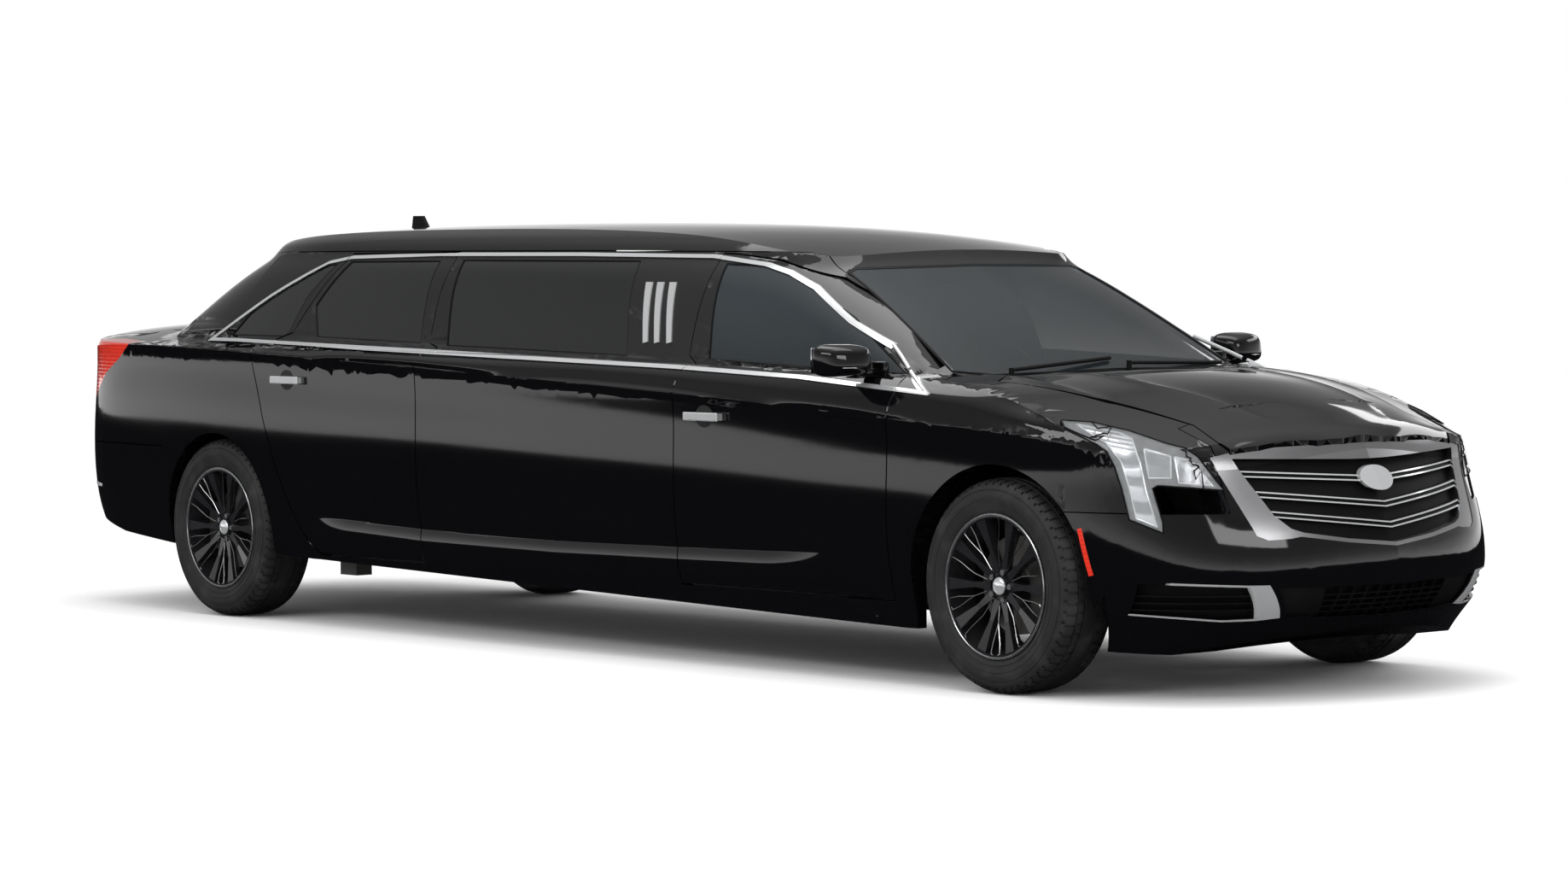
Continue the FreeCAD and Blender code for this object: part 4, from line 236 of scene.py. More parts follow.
class LimousineSizes(bpy.types.PropertyGroup):
    tread_depth: length_prop("Tread depth", "Depth of the tyre grooves", 0.007)
    edge_line: length_prop("Spoke edge", "Radius of the bright line along a spoke's edge", 0.0016)
    nut: length_prop("Lug nut", "Radius of a lug nut", 0.0105)
    trim_line: length_prop("Pillar trim", "Radius of the bright line on the front pillars", 0.0075)
    hood_line: length_prop("Hood crease", "Height of the pressed lines on the hood", 0.0060)
    door_line: length_prop("Door crease", "Swell of the doors below their lower crease", 0.0160)
    voxel: length_prop("Cushion grain", "Voxel size of the cushion simulation", 0.015)
    swell: length_prop("Cushion swell", "Most that a cushion's skin moves as it fills", 0.014)


def colours():
    return bpy.context.scene.limousine_colours


def sizes():
    return bpy.context.scene.limousine_sizes


# Finishes
@finish("gloss_paint", IOR=1.5)
def black_paint(graph, spot, x, y, z):
    shades = colours()
    wide = abs(y)
    belt = z + x * BELT_SLOPE
    pillar = belt.step(1.066, 1.070) * z.math("LESS_THAN", 1.458) * x.math("LESS_THAN", 0.95)
    pillar = pillar * x.math("GREATER_THAN", -2.12) * wide.math("GREATER_THAN", 0.60)
    inside = 1.0 - wide.step(0.795, 0.800)
    inside = inside * x.step(-2.35, -2.30) * (1.0 - x.step(1.93, 1.95)) * z.step(0.30, 0.32)
    flake = graph.noise(spot, 900.0, 1.0)
    peel = graph.noise(spot, 160.0, 2.0)
    dust = graph.noise(spot, 3.0, 4.0)
    dull = pillar.most(inside * (1.0 - z.step(1.02, 1.05)))
    for share, level in HANDLE_SPOTS:
        across = (x - station(share) + HANDLE_SHIFT) / CUP_REACH
        up = (z - level * HEIGHT) / CUP_RISE
        dull = dull.most(1.0 - (across * across + up * up).step(0.95, 1.0))
    paint = graph.blend(flake * 0.25, shades.paint, (0.006, 0.006, 0.007))
    return {"Base Color": graph.blend(dull, paint, shades.satin),
            "Roughness": 0.045 + dust * 0.02 + dull * 0.40,
            "Normal": graph.bump(peel, 0.002, 0.0003)}


@finish("chrome", Metallic=0.72)
def chrome(graph, spot, x, y, z):
    smear = graph.noise(spot, 14.0, 4.0)
    tarnish = graph.noise(spot, 60.0, 2.0)
    return {"Base Color": graph.blend(tarnish * 0.25, colours().chrome, (0.62, 0.63, 0.65)),
            "Roughness": 0.10 + smear * 0.08}


@finish("satin_metal", Metallic=1.0)
def satin_metal(graph, spot, x, y, z):
    grain = graph.noise(spot, 420.0, 2.0)
    cloud = graph.noise(spot, 5.0)
    return {"Base Color": graph.blend(cloud * 0.6, colours().satin_trim, (0.30, 0.30, 0.31)),
            "Roughness": 0.26 + grain * 0.08, "Normal": graph.bump(grain, 0.05, 0.0003)}


def glass(name, colour, alpha, foot=0.0):
    """Tinted glass whose alpha rises by foot towards its upper edge."""
    def build(graph, spot, x, y, z):
        film = graph.noise(spot, 2.2, 4.0)
        band = z.step(1.02, 1.30)
        return {"Base Color": graph.blend(film * 0.5, colour, [1.6 * c for c in colour]),
                "Roughness": 0.02 + film * 0.02, "Alpha": alpha + band * foot}

    return surface(name, build, IOR=1.52, Coat_Weight=0.6, Coat_Roughness=0.01)


@finish("lens_glass", IOR=1.5, Coat_Weight=1.0, Coat_Roughness=0.01)
def lens_glass(graph, spot, x, y, z):
    film = graph.noise(spot, 30.0, 2.0)
    return {"Base Color": graph.blend(film * 0.4, (0.75, 0.78, 0.80), (0.9, 0.92, 0.94)),
            "Roughness": 0.02 + film * 0.02, "Alpha": 0.10 + film * 0.06}


@finish("bowl_black", Metallic=0.6)
def bowl_black(graph, spot, x, y, z):
    cloud = graph.noise(spot, 8.0)
    ribs = (z * 900.0).math("SINE")
    return {"Base Color": graph.blend(cloud, (0.010, 0.010, 0.012), (0.05, 0.05, 0.055)),
            "Roughness": 0.12 + cloud * 0.1, "Normal": graph.bump(ribs, 0.15, 0.001)}


@finish("lamp_light", Metallic=0.85, Emission_Strength=0.07)
def lamp_light(graph, spot, x, y, z):
    # Painted shade: dark stripes between the reflector's flutes, and a darker streaked patch over the projector
    # boxes
    flute = ((abs(y) * 0.8 + x * 0.5 + z * 0.35) * 330.0).math("SINE") * 0.5 + 0.5
    streak = graph.noise(spot, 26.0)
    projector_shade = abs(y).step(0.765, 0.755) * z.step(0.66, 0.70)
    shade = flute.step(0.35, 0.85) * 0.75 * (1.0 - projector_shade) + projector_shade * (0.55 + streak * 0.3)
    # The dark colour is the painted shade, in the base colour and in the emission alike
    return {"Base Color": graph.blend(shade, (0.88, 0.90, 0.93), (0.055, 0.055, 0.062)),
            "Roughness": 0.09 + shade * 0.15, "Normal": graph.bump(flute, 0.35, 0.002),
            "Emission Color": graph.blend(shade, (0.9, 0.95, 1.0), (0.02, 0.02, 0.03))}


@finish("red_lamp", Coat_Weight=1.0, Coat_Roughness=0.02, Emission_Strength=0.18)
def red_lamp(graph, spot, x, y, z):
    lamp_red = colours().lamp_red
    ribs = (z * 420.0).math("SINE") * 0.5 + 0.5
    film = graph.noise(spot, 9.0)
    silver = (1.0 - x.step(-2.9, -2.85)) * (1.0 - z.step(0.58, 0.60))
    red = graph.blend(ribs * 0.35 + film * 0.3, lamp_red, (0.30, 0.010, 0.008))
    return {"Base Color": graph.blend(silver, red, (0.62, 0.63, 0.65)),
            "Roughness": 0.10 + film * 0.08, "Normal": graph.bump(ribs, 0.12, 0.001),
            "Emission Color": graph.blend(silver, lamp_red, (0.2, 0.2, 0.2))}


@finish("plastic", Specular_IOR_Level=0.12)
def plastic(graph, spot, x, y, z):
    grain = graph.noise(spot, 700.0, 2.0)
    scuff = graph.noise(spot, 7.0, 4.0)
    return {"Base Color": graph.blend(scuff, colours().plastic, (0.006, 0.006, 0.0065)),
            "Roughness": 0.42 + scuff * 0.15, "Normal": graph.bump(grain, 0.15, 0.0005)}


@finish("rubber")
def rubber(graph, spot, x, y, z):
    grain = graph.noise(spot, 500.0)
    dust = graph.noise(spot, 11.0, 5.0)
    return {"Base Color": graph.blend(dust.step(0.45, 0.8), colours().rubber, (0.028, 0.027, 0.026)),
            "Roughness": 0.55 + dust * 0.2, "Normal": graph.bump(grain, 0.2, 0.0006)}


def wheel_radius(x, z):
    """Distance from the nearer wheel centre, seen from the side."""
    front = x - FRONT_WHEEL.x
    rear = x - REAR_WHEEL.x
    along = (front * front).least(rear * rear)
    up = z - TYRE_RADIUS
    return (along + up * up).math("SQRT")


@finish("dark_alloy", Coat_Weight=0.5, Coat_Roughness=0.04)
def dark_alloy(graph, spot, x, y, z):
    out = wheel_radius(x, z)
    disc = (1.0 - out.step(0.166, 0.168)) * (1.0 - abs(y).step(0.7955, 0.797))
    rings = (out * 2600.0).math("SINE") * 0.5 + 0.5
    cloud = graph.noise(spot, 20.0)
    lip = out.step(0.2335, 0.2345) * abs(y).step(0.880, 0.884)
    dark = graph.blend(cloud, colours().alloy, (0.030, 0.030, 0.033))
    dark = graph.blend(lip, dark, (0.70, 0.71, 0.72))
    return {"Base Color": graph.blend(disc, dark, (0.26, 0.25, 0.24)),
            "Metallic": 0.55 + disc * 0.45 + lip * 0.45,
            "Roughness": 0.20 + disc * 0.12 + disc * rings * 0.1 + cloud * 0.05,
            "Normal": graph.bump(rings * disc, 0.1, 0.0004)}


@finish("bare_metal", Metallic=0.7)
def bare_metal(graph, spot, x, y, z):
    grime = graph.noise(spot, 9.0, 5.0)
    grain = graph.noise(spot, 240.0)
    return {"Base Color": graph.blend(grime, (0.035, 0.034, 0.033), (0.12, 0.115, 0.11)),
            "Roughness": 0.45 + grime * 0.25, "Normal": graph.bump(grain, 0.25, 0.0008)}


@finish("tailpipe_steel", Metallic=1.0)
def exhaust_steel(graph, spot, x, y, z):
    heat = graph.noise(spot, 5.0, 4.0)
    front = x.step(0.2, 1.8)
    return {"Base Color": graph.blend(heat * 0.6 + front * 0.3, (0.42, 0.41, 0.40), (0.20, 0.15, 0.11)),
            "Roughness": 0.28 + heat * 0.2}


@finish("underbody")
def underbody(graph, spot, x, y, z):
    grime = graph.noise(spot, 6.0, 5.0)
    pile = graph.noise(spot, 900.0, 2.0)
    carpet = z.step(0.298, 0.2995) * (1.0 - abs(y).step(0.80, 0.81))
    below = graph.blend(grime, (0.018, 0.018, 0.018), (0.05, 0.048, 0.045))
    return {"Base Color": graph.blend(carpet, below, colours().carpet),
            "Roughness": 0.60 + carpet * 0.3 + grime * 0.1,
            "Normal": graph.bump(pile * carpet + grime * (1.0 - carpet), 0.4, 0.002)}


def cells(graph, spot, scale, width):
    """The grain of a hide: 0 in its furrows and 1 on its cells."""
    edges = graph.node("ShaderNodeTexVoronoi", {"feature": "DISTANCE_TO_EDGE"},
                       {"Vector": spot, "Scale": scale}, "Distance")
    return edges.step(0.0, width)


@finish("leather")
def leather(graph, spot, x, y, z):
    shade = colours().leather
    fine = cells(graph, spot, 420.0, 0.35)
    wear = graph.noise(spot, 6.0, 4.0)
    return {"Base Color": graph.blend(wear * 0.7, shade, [0.6 * c for c in shade]),
            "Roughness": 0.42 + wear * 0.15, "Normal": graph.bump(fine, 0.35, 0.0008)}


@finish("cabin_vinyl")
def cabin_vinyl(graph, spot, x, y, z):
    fine = cells(graph, spot, 300.0, 0.3)
    cloud = graph.noise(spot, 5.0)
    return {"Base Color": graph.blend(cloud, (0.012, 0.011, 0.011), (0.020, 0.019, 0.018)),
            "Roughness": 0.50 + cloud * 0.15, "Normal": graph.bump(fine, 0.3, 0.0007)}


@finish("bright_edge", Metallic=1.0)
def bright_edge(graph, spot, x, y, z):
    cut = graph.noise(spot, 90.0, 2.0)
    return {"Base Color": graph.blend(cut, (0.80, 0.81, 0.82), (0.60, 0.61, 0.62)),
            "Roughness": 0.16 + cut * 0.1}


@finish("mirror_glass", Metallic=1.0)
def mirror_glass(graph, spot, x, y, z):
    haze = graph.noise(spot, 12.0)
    return {"Base Color": graph.blend(haze, (0.80, 0.83, 0.85), (0.70, 0.74, 0.77)),
            "Roughness": 0.015 + haze * 0.02}


# Modelling helpers
def object_mode():
    if bpy.context.object and bpy.context.object.mode != "OBJECT":
        bpy.ops.object.mode_set(mode="OBJECT")


def only(obj):
    object_mode()
    bpy.ops.object.select_all(action="DESELECT")
    obj.select_set(True)
    bpy.context.view_layer.objects.active = obj


def start(kind, **place):
    """A primitive, opened for editing with nothing else selected."""
    object_mode()
    bpy.ops.object.select_all(action="DESELECT")
    getattr(bpy.ops.mesh, "primitive_%s_add" % kind)(**place)
    bpy.ops.object.mode_set(mode="EDIT")
    bpy.ops.mesh.select_all(action="SELECT")
    return bpy.context.object


def settled(obj):
    """The finished object with its place brought into its mesh."""
    only(obj)
    bpy.ops.object.transform_apply(location=True, rotation=True, scale=True)
    return obj


def block(low, high, bevel=0.0, segments=2):
    """A box between two corners, its edges rounded."""
    low, high = Vector(low), Vector(high)
    obj = start("cube", size=1.0, location=(low + high) / 2)
    extent = high - low
    bpy.ops.transform.resize(value=extent, center_override=(low + high) / 2)
    if bevel:
        bpy.ops.mesh.bevel(offset=bevel, segments=segments, affect="EDGES")
    return settled(obj)


def pick_faces(obj, test):
    """Selects the faces of an open mesh whose centre and normal pass the test."""
    mesh = bmesh.from_edit_mesh(obj.data)
    for face in mesh.faces:
        face.select = False
    mesh.select_flush(False)
    for face in mesh.faces:
        if test(face.calc_center_median(), face.normal):
            face.select = True
    mesh.select_flush(True)
    bmesh.update_edit_mesh(obj.data)


def polyline(points):
    """An open chain of edges, drawn by extruding a single point."""
    first = Vector(points[0])
    obj = start("plane", size=0.01, location=first)
    bpy.ops.mesh.merge(type="CENTER")
    last = first
    for point in points[1:]:
        move = Vector(point) - last
        bpy.ops.mesh.extrude_region_move(TRANSFORM_OT_translate={"value": move})
        last = Vector(point)
    return obj


def lathe(points, centre, steps):
    """A closed ring turned about an axle along Y, from points of radius and place along it."""
    spots = [Vector((centre.x, centre.y + y, centre.z + r)) for r, y in points]
    obj = polyline(spots + spots[:1])
    bpy.ops.mesh.select_all(action="SELECT")
    bpy.ops.mesh.remove_doubles(threshold=0.00001)
    bpy.ops.mesh.spin(steps=steps, angle=2 * math.pi, center=centre, axis=(0, 1, 0))
    bpy.ops.mesh.select_all(action="SELECT")
    bpy.ops.mesh.remove_doubles(threshold=0.00002)
    bpy.ops.mesh.normals_make_consistent(inside=False)
    return settled(obj)


def wire(points, radius, closed=False, sides=2):
    """A round wire through points."""
    curve = bpy.data.curves.new("wire", "CURVE")
    curve.dimensions = "3D"
    curve.bevel_depth = radius
    curve.bevel_resolution = sides
    curve.use_fill_caps = True
    line = curve.splines.new("POLY")
    line.points.add(len(points) - 1)
    for spot, point in zip(line.points, points):
        spot.co = (*point, 1.0)
    line.use_cyclic_u = closed
    obj = bpy.data.objects.new("wire", curve)
    bpy.context.scene.collection.objects.link(obj)
    only(obj)
    bpy.ops.object.convert(target="MESH")
    return bpy.context.object


def joined(objects):
    """Several finished meshes as one."""
    only(objects[0])
    for obj in objects[1:]:
        obj.select_set(True)
    bpy.ops.object.join()
    return bpy.context.object


def keep(obj, name, body, material, slot=None, angle=35.0, replaces=()):
    """Names a finished piece, brings its place into its mesh and puts it on its body."""
    settled(obj)
    obj.name = name
    obj.data.name = name
    if material:
        obj.data.materials.clear()
        obj.data.materials.append(material)
    if angle:
        bpy.ops.object.shade_smooth_by_angle(angle=math.radians(angle))
    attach(obj, body)
    if replaces:
        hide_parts(*replaces)
    return obj


def twin(obj, shift=(0, 0, 0), mirrored=False):
    """A copy with its own mesh, moved and if wanted mirrored to the other side."""
    settled(obj)
    copy = obj.copy()
    copy.data = obj.data.copy()
    copy.parent = None
    bpy.context.scene.collection.objects.link(copy)
    matrix = Matrix.Translation(shift)
    if mirrored:
        matrix = Matrix.Diagonal((1.0, -1.0, 1.0, 1.0)) @ matrix
    copy.data.transform(matrix)
    if mirrored:
        copy.data.flip_normals()
    copy.matrix_world = Matrix.Identity(4)
    return copy


def pair(obj):
    """A piece of the left side and its mirrored twin, with their sides."""
    return ("left", obj), ("right", twin(obj, mirrored=True))


def keep_wheels(obj, title, *finish, stands=False):
    """Keeps a piece of the front left wheel and its copies on the other three."""
    back = (REAR_WHEEL.x - FRONT_WHEEL.x, 0, 0)
    copies = obj, twin(obj, mirrored=True), twin(obj, back), twin(obj, back, True)
    for wheel, piece in zip(WHEELS, copies):
        keep(piece, title + wheel, "wheel_" + wheel, *finish, ["tyre_" + wheel] if stands else ())


def keep_seal(obj, name, body="body"):
    keep(obj, name, body, plastic(), "black_plastic", 40.0)


def slices(axis, spots):
    """Planes across one axis at places in millimetres."""
    return [([spot / 1000.0 * (axis == i) for i in range(3)], [float(axis == i) for i in range(3)])
            for spot in spots]


def turned(pivot):
    """The lean of a seat's back about its pivot."""
    lean = Matrix.Rotation(math.radians(SEAT_LEAN), 4, "Y")
    return Matrix.Translation(pivot) @ lean @ Matrix.Translation(-pivot)


def creased(name, title, planes, shift, angle=18.0):
    """A panel's own copy, cut along planes so that its skin can carry a crease, standing for the plain one."""
    node = NODES[name]
    object_mode()
    obj = bpy.data.objects.new(title, node.data.copy())
    bpy.context.scene.collection.objects.link(obj)
    only(obj)
    bpy.ops.object.mode_set(mode="EDIT")
    bpy.ops.mesh.select_all(action="SELECT")
    bpy.ops.mesh.remove_doubles(threshold=0.00001)
    for point, normal in planes:
        bpy.ops.mesh.select_all(action="SELECT")
        bpy.ops.mesh.bisect(plane_co=point, plane_no=normal, threshold=0.00001)
    object_mode()
    for vertex in obj.data.vertices:
        vertex.co = shift(vertex.co)
    return keep(obj, title, BODY_OF[name], black_paint(), "black_paint", angle, [name])


class Skin:
    """A smooth surface laid through the outer faces of some panels. Its slope shades them without facets."""

    def __init__(self, names, up, least, test, degrees, even=False):
        self.up, self.even, self.degrees = up, even, degrees
        self.across = 2 if up == 1 else 1
        spots = {}
        for name in names:
            mesh = NODES[name].data
            for face in mesh.polygons:
                if face.normal[up] < least:
                    continue
                for index in face.vertices:
                    co = mesh.vertices[index].co
                    cell = round(co.x / 0.05), round(co[self.across] / 0.03)
                    if test(co):
                        spots.setdefault(cell, []).append(tuple(co))
        kept = []
        for group in spots.values():
            top = max(co[up] for co in group)
            kept += [co for co in group if co[up] > top - 0.004]
        kept = numpy.array(kept)
        self.low = kept.min(0)
        self.high = kept.max(0)
        self.terms = [(i, j) for i in range(degrees[0] + 1) for j in range(degrees[1] + 1)
                      if i / degrees[0] + j / degrees[1] <= 1.35]
        rows = self.rows(kept[:, 0], kept[:, self.across])
        self.weights = numpy.linalg.lstsq(rows, kept[:, up], rcond=None)[0]

    def rows(self, x, w):
        a = (x - self.low[0]) / (self.high[0] - self.low[0]) * 2 - 1
        low, high = self.low[self.across], self.high[self.across]
        b = (w / high) ** 2 if self.even else (w - low) / (high - low) * 2 - 1
        return numpy.stack([a ** i * b ** j for i, j in self.terms], -1)

    def level(self, x, w):
        return self.rows(x, w) @ self.weights

    def shade(self, obj, share, extra, least=0.6, reach=0.006):
        """Gives an object's outer faces the slope of this surface and of the creases pressed into it."""
        mesh = obj.data
        normals = numpy.array([corner.vector[:] for corner in mesh.corner_normals])
        picked, spots = [], []
        for face in mesh.polygons:
            side = math.copysign(1.0, face.center.y) if self.up == 1 else 1.0
            if face.normal[self.up] * side < least:
                continue
            for loop in face.loop_indices:
                co = mesh.vertices[mesh.loops[loop].vertex_index].co.lerp(face.center, 0.12)
                picked.append((loop, side))
                spots.append((co.x, co[self.across], co[self.up] * side))
        if not picked:
            return
        spots = numpy.array(spots)
        x = numpy.clip(spots[:, 0], self.low[0], self.high[0])
        w = spots[:, 1]
        step = 0.0015

        def pressed(a, b):
            here = extra(a, b)
            return (extra(a + step, b) - here) / step, (extra(a, b + step) - here) / step, here

        press = numpy.array([pressed(a, b) for a, b in zip(x, w)])
        slope_x = (self.level(x + step, w) - self.level(x - step, w)) / (2 * step) + press[:, 0]
        slope_w = (self.level(x, w + step) - self.level(x, w - step)) / (2 * step) + press[:, 1]
        far = numpy.abs(self.level(x, w) + press[:, 2] - spots[:, 2])
        for (loop, side), sx, sw, gap, ax, aw in zip(picked, slope_x, slope_w, far, spots[:, 0], w):
            part = share(ax, aw) * (1.0 - share_of(gap, reach, reach * 2.5))
            if part <= 0:
                continue
            way = numpy.empty(3)
            way[0], way[self.across], way[self.up] = -sx, -sw, 1.0
            way /= numpy.linalg.norm(way)
            if self.up == 1:
                way[1] *= side
            mixed = normals[loop] * (1 - part) + way * part
            normals[loop] = mixed / numpy.linalg.norm(mixed)
        mesh.normals_split_custom_set([tuple(normal) for normal in normals])


def rim_lines(name, facing, radius, least=0.5):
    """A round line along the border of a node's faces that look one way."""
    mesh = bmesh.new()
    mesh.from_mesh(NODES[name].data)
    bmesh.ops.remove_doubles(mesh, verts=mesh.verts, dist=0.00001)
    way = Vector(facing).normalized()
    seen = {face for face in mesh.faces if face.normal.dot(way) > least}
    border = [edge for edge in mesh.edges if sum(face in seen for face in edge.link_faces) == 1]
    spots = sorted({vertex for edge in border for vertex in edge.verts}, key=lambda vertex: vertex.index)
    order = {vertex: index for index, vertex in enumerate(spots)}
    lines = bpy.data.meshes.new("lines")
    lines.from_pydata([vertex.co for vertex in spots], [[order[v] for v in edge.verts] for edge in border], [])
    mesh.free()
    obj = bpy.data.objects.new("lines", lines)
    bpy.context.scene.collection.objects.link(obj)
    only(obj)
    bpy.ops.object.convert(target="CURVE")
    obj = bpy.context.object
    obj.data.bevel_depth = radius
    obj.data.bevel_resolution = 1
    bpy.ops.object.convert(target="MESH")
    return bpy.context.object


def share_of(value, low, high):
    """How far a value is from the low to the high one, eased at both ends."""
    part = min(max((value - low) / (high - low), 0.0), 1.0)
    return part * part * (3 - 2 * part)


def along(points, value):
    """Reads a line of points at a value, straight between them."""
    for (a, first), (b, second) in zip(points, points[1:]):
        if value <= b:
            part = max(0.0, (value - a) / (b - a))
            return first + (second - first) * part
    return points[-1][1]


def dress(names, material):
    """Gives CAD nodes their finish."""
    for name in names:
        node = NODES[name]
        node.data.materials.clear()
        node.data.materials.append(material)


def sides(name):
    return [name + "_left", name + "_right"]


class LIMOUSINE_OT_finishes(bpy.types.Operator):
    """Gives every node of the frame its finish"""

    bl_idname = "limousine.finishes"
    bl_label = "Finishes"

    def execute(self, context):
        shades = colours()
        panels = ["boot_lid", "cross_panels", "front_fenders", "front_bumper", "rear_bumper", "roof_panel",
                  "hood"]
        for name in ("body_side", "door_front", "door_rear", "mirror"):
            panels += sides(name)
        dress(panels, black_paint())
        dress(sides("door_glass_rear") + ["side_glass", "rear_window"],
              glass("privacy_glass", shades.privacy, 0.94))
        dress(sides("door_glass_front"), glass("door_glass", shades.screen, 0.62, 0.25))
        dress(["windshield"], glass("screen_glass", shades.screen, 0.42, 0.15))
        dress(sides("door_brightwork_front") + sides("door_brightwork_rear"), chrome())
        dress(["window_trim", "front_brightwork"], chrome())
        dress(["grille"], satin_metal())
        dress(["lower_grilles", "wheel_liners", "wipers", "antenna"], plastic())
        dress(["headlamps"], lens_glass())
        dress(["lamp_bowls"], bowl_black())
        dress(["lamp_lights"], lamp_light())
        dress(["red_lamps"], red_lamp())
        dress(["rim_" + wheel for wheel in WHEELS], dark_alloy())
        dress(["tyre_" + wheel for wheel in WHEELS], rubber())
        dress(["front_suspension", "rear_suspension", "drivetrain", "fuel_tank", *sides("knuckle")],
              bare_metal())
        dress(["exhaust"], exhaust_steel())
        dress(["floor_pan"], underbody())
        dress(["front_seats", "rear_seats"], leather())
        dress(["dashboard", "steering_wheel"], cabin_vinyl())
        return {"FINISHED"}


class LIMOUSINE_OT_tyres(bpy.types.Operator):
    """Tyres with grooved tread, shoulder blocks and sidewall rings"""

    bl_idname = "limousine.tyres"
    bl_label = "Tyres"

    # Drop from the tread and inset from the tyre's side, down to the bead
    SIDEWALL = ((0.030, 0.0048), (0.036, 0.0040), (0.037, 0.0052), (0.040, 0.0052), (0.041, 0.0030),
                (0.052, 0.0004), (0.060, 0.0), (0.068, 0.0006), (0.069, 0.0022), (0.072, 0.0022),
                (0.073, 0.0012), (0.086, 0.0040), (0.094, 0.0058), (0.095, 0.0040), (0.103, 0.0055),
                (0.112, 0.0115), (0.1155, 0.0165), (0.1185, 0.0170), (0.1245, 0.0180))
    # Band across the tyre, reach below the tread, slant, shift, steepest normal and depth of each row of cuts
    CUTS = (((0.069, 9.0), 0.026, 1.2, 0.0, 0.9, -0.005), ((0.040, 0.0595), 0.003, 0.0, 0.02, 9.0, -0.004))

    def execute(self, context):
        deep = sizes().tread_depth
        half = TYRE_WIDTH / 2
        top = TYRE_RADIUS
        right = [(top, 0.010), (top - 0.0003, 0.030), (top - deep, 0.031), (top - deep, 0.038),
                 (top - 0.0005, 0.039), (top - 0.0012, 0.060), (top - deep, 0.061), (top - deep, 0.067),
                 (top - 0.0018, 0.068), (top - 0.006, 0.088), (top - 0.013, 0.101), (top - 0.022, 0.108)]
        right += [(top - drop, half - inset) for drop, inset in self.SIDEWALL]
        section = right + [(r, -y) for r, y in reversed(right)]
        tyre = lathe(section, FRONT_WHEEL, 240)
        bpy.ops.object.mode_set(mode="EDIT")
        pitch = 2 * math.pi / 60
        for (inner, outer), reach, slant, shift, upright, depth in self.CUTS:

            def sipe(centre, normal):
                spot = centre - FRONT_WHEEL
                out = math.hypot(spot.x, spot.z)
                turn = (math.atan2(spot.x, spot.z) + abs(spot.y) * slant + shift) % pitch
                return (inner < abs(spot.y) < outer and out > top - reach and turn < pitch / 4
                        and abs(normal.y) < upright)

            pick_faces(tyre, sipe)
            bpy.ops.mesh.extrude_region_shrink_fatten(TRANSFORM_OT_shrink_fatten={"value": depth})
        object_mode()
        keep_wheels(tyre, "tread_tyre_", rubber(), "tyre_rubber", 25.0, stands=True)
        return {"FINISHED"}


def on_wheel(radius, turn, out):
    """A point of the front left wheel from its radius, its turn and its place along the axle."""
    angle = math.radians(turn)
    return FRONT_WHEEL + Vector((radius * math.sin(angle), out, radius * math.cos(angle)))


class LIMOUSINE_OT_wheels(bpy.types.Operator):
    """Bright spoke edges, rim line, centre cap and lug nuts on each wheel"""

    bl_idname = "limousine.wheels"
    bl_label = "Wheel details"

    def execute(self, context):
        line = sizes().edge_line
        plan = [(0.064, 0.0000, 0.0850), (0.123, 0.0000, 0.0905), (0.150, 0.0060, 0.0950),
                (0.190, 0.0165, 0.1005), (0.2240, 0.0205, 0.1062)]
        edges = []
        for spoke in range(10):
            turn = spoke * 36.0
            for side in (1, -1) if spoke % 2 else (1,):
                outline = []
                for reach, wide, out in plan:
                    outline.append(on_wheel(reach, turn + side * math.degrees(wide / reach), out))
                outline.append(on_wheel(0.2330, turn, 0.1075))
                edges.append(wire(outline, line, sides=1))
        circle = [on_wheel(0.2375, step * 3.0, 0.1082) for step in range(120)]
        edges.append(wire(circle, 0.0022, closed=True, sides=1))
        trims = joined(edges)
        nuts = []
        for nut in range(5):
            centre = on_wheel(0.0475, 18.0 + nut * 72.0, 0.080)
            obj = start("cylinder", vertices=6, radius=sizes().nut, depth=0.016, location=centre,
                        rotation=(math.pi / 2, 0, 0))
            pick_faces(obj, lambda c, n: n.y > 0.9)
            bpy.ops.mesh.inset(thickness=0.003)
            bpy.ops.transform.translate(value=(0, 0.003, 0))
            bpy.ops.mesh.inset(thickness=0.003)
            bpy.ops.transform.translate(value=(0, -0.002, 0))
            nuts.append(obj)
        bolts = joined(nuts)
        cap = lathe([(0.0001, 0.088), (0.0001, 0.0945), (0.014, 0.0940), (0.0195, 0.0925), (0.0205, 0.0935),
                     (0.0255, 0.0925), (0.0290, 0.0885), (0.0290, 0.084), (0.004, 0.084)], FRONT_WHEEL, 48)
        for obj, title, shine in ((trims, "wheel_edges_", bright_edge()), (bolts, "lug_nuts_", bright_edge()),
                                  (cap, "wheel_cap_", chrome())):
            keep_wheels(obj, title, shine, None, 40.0)
        return {"FINISHED"}


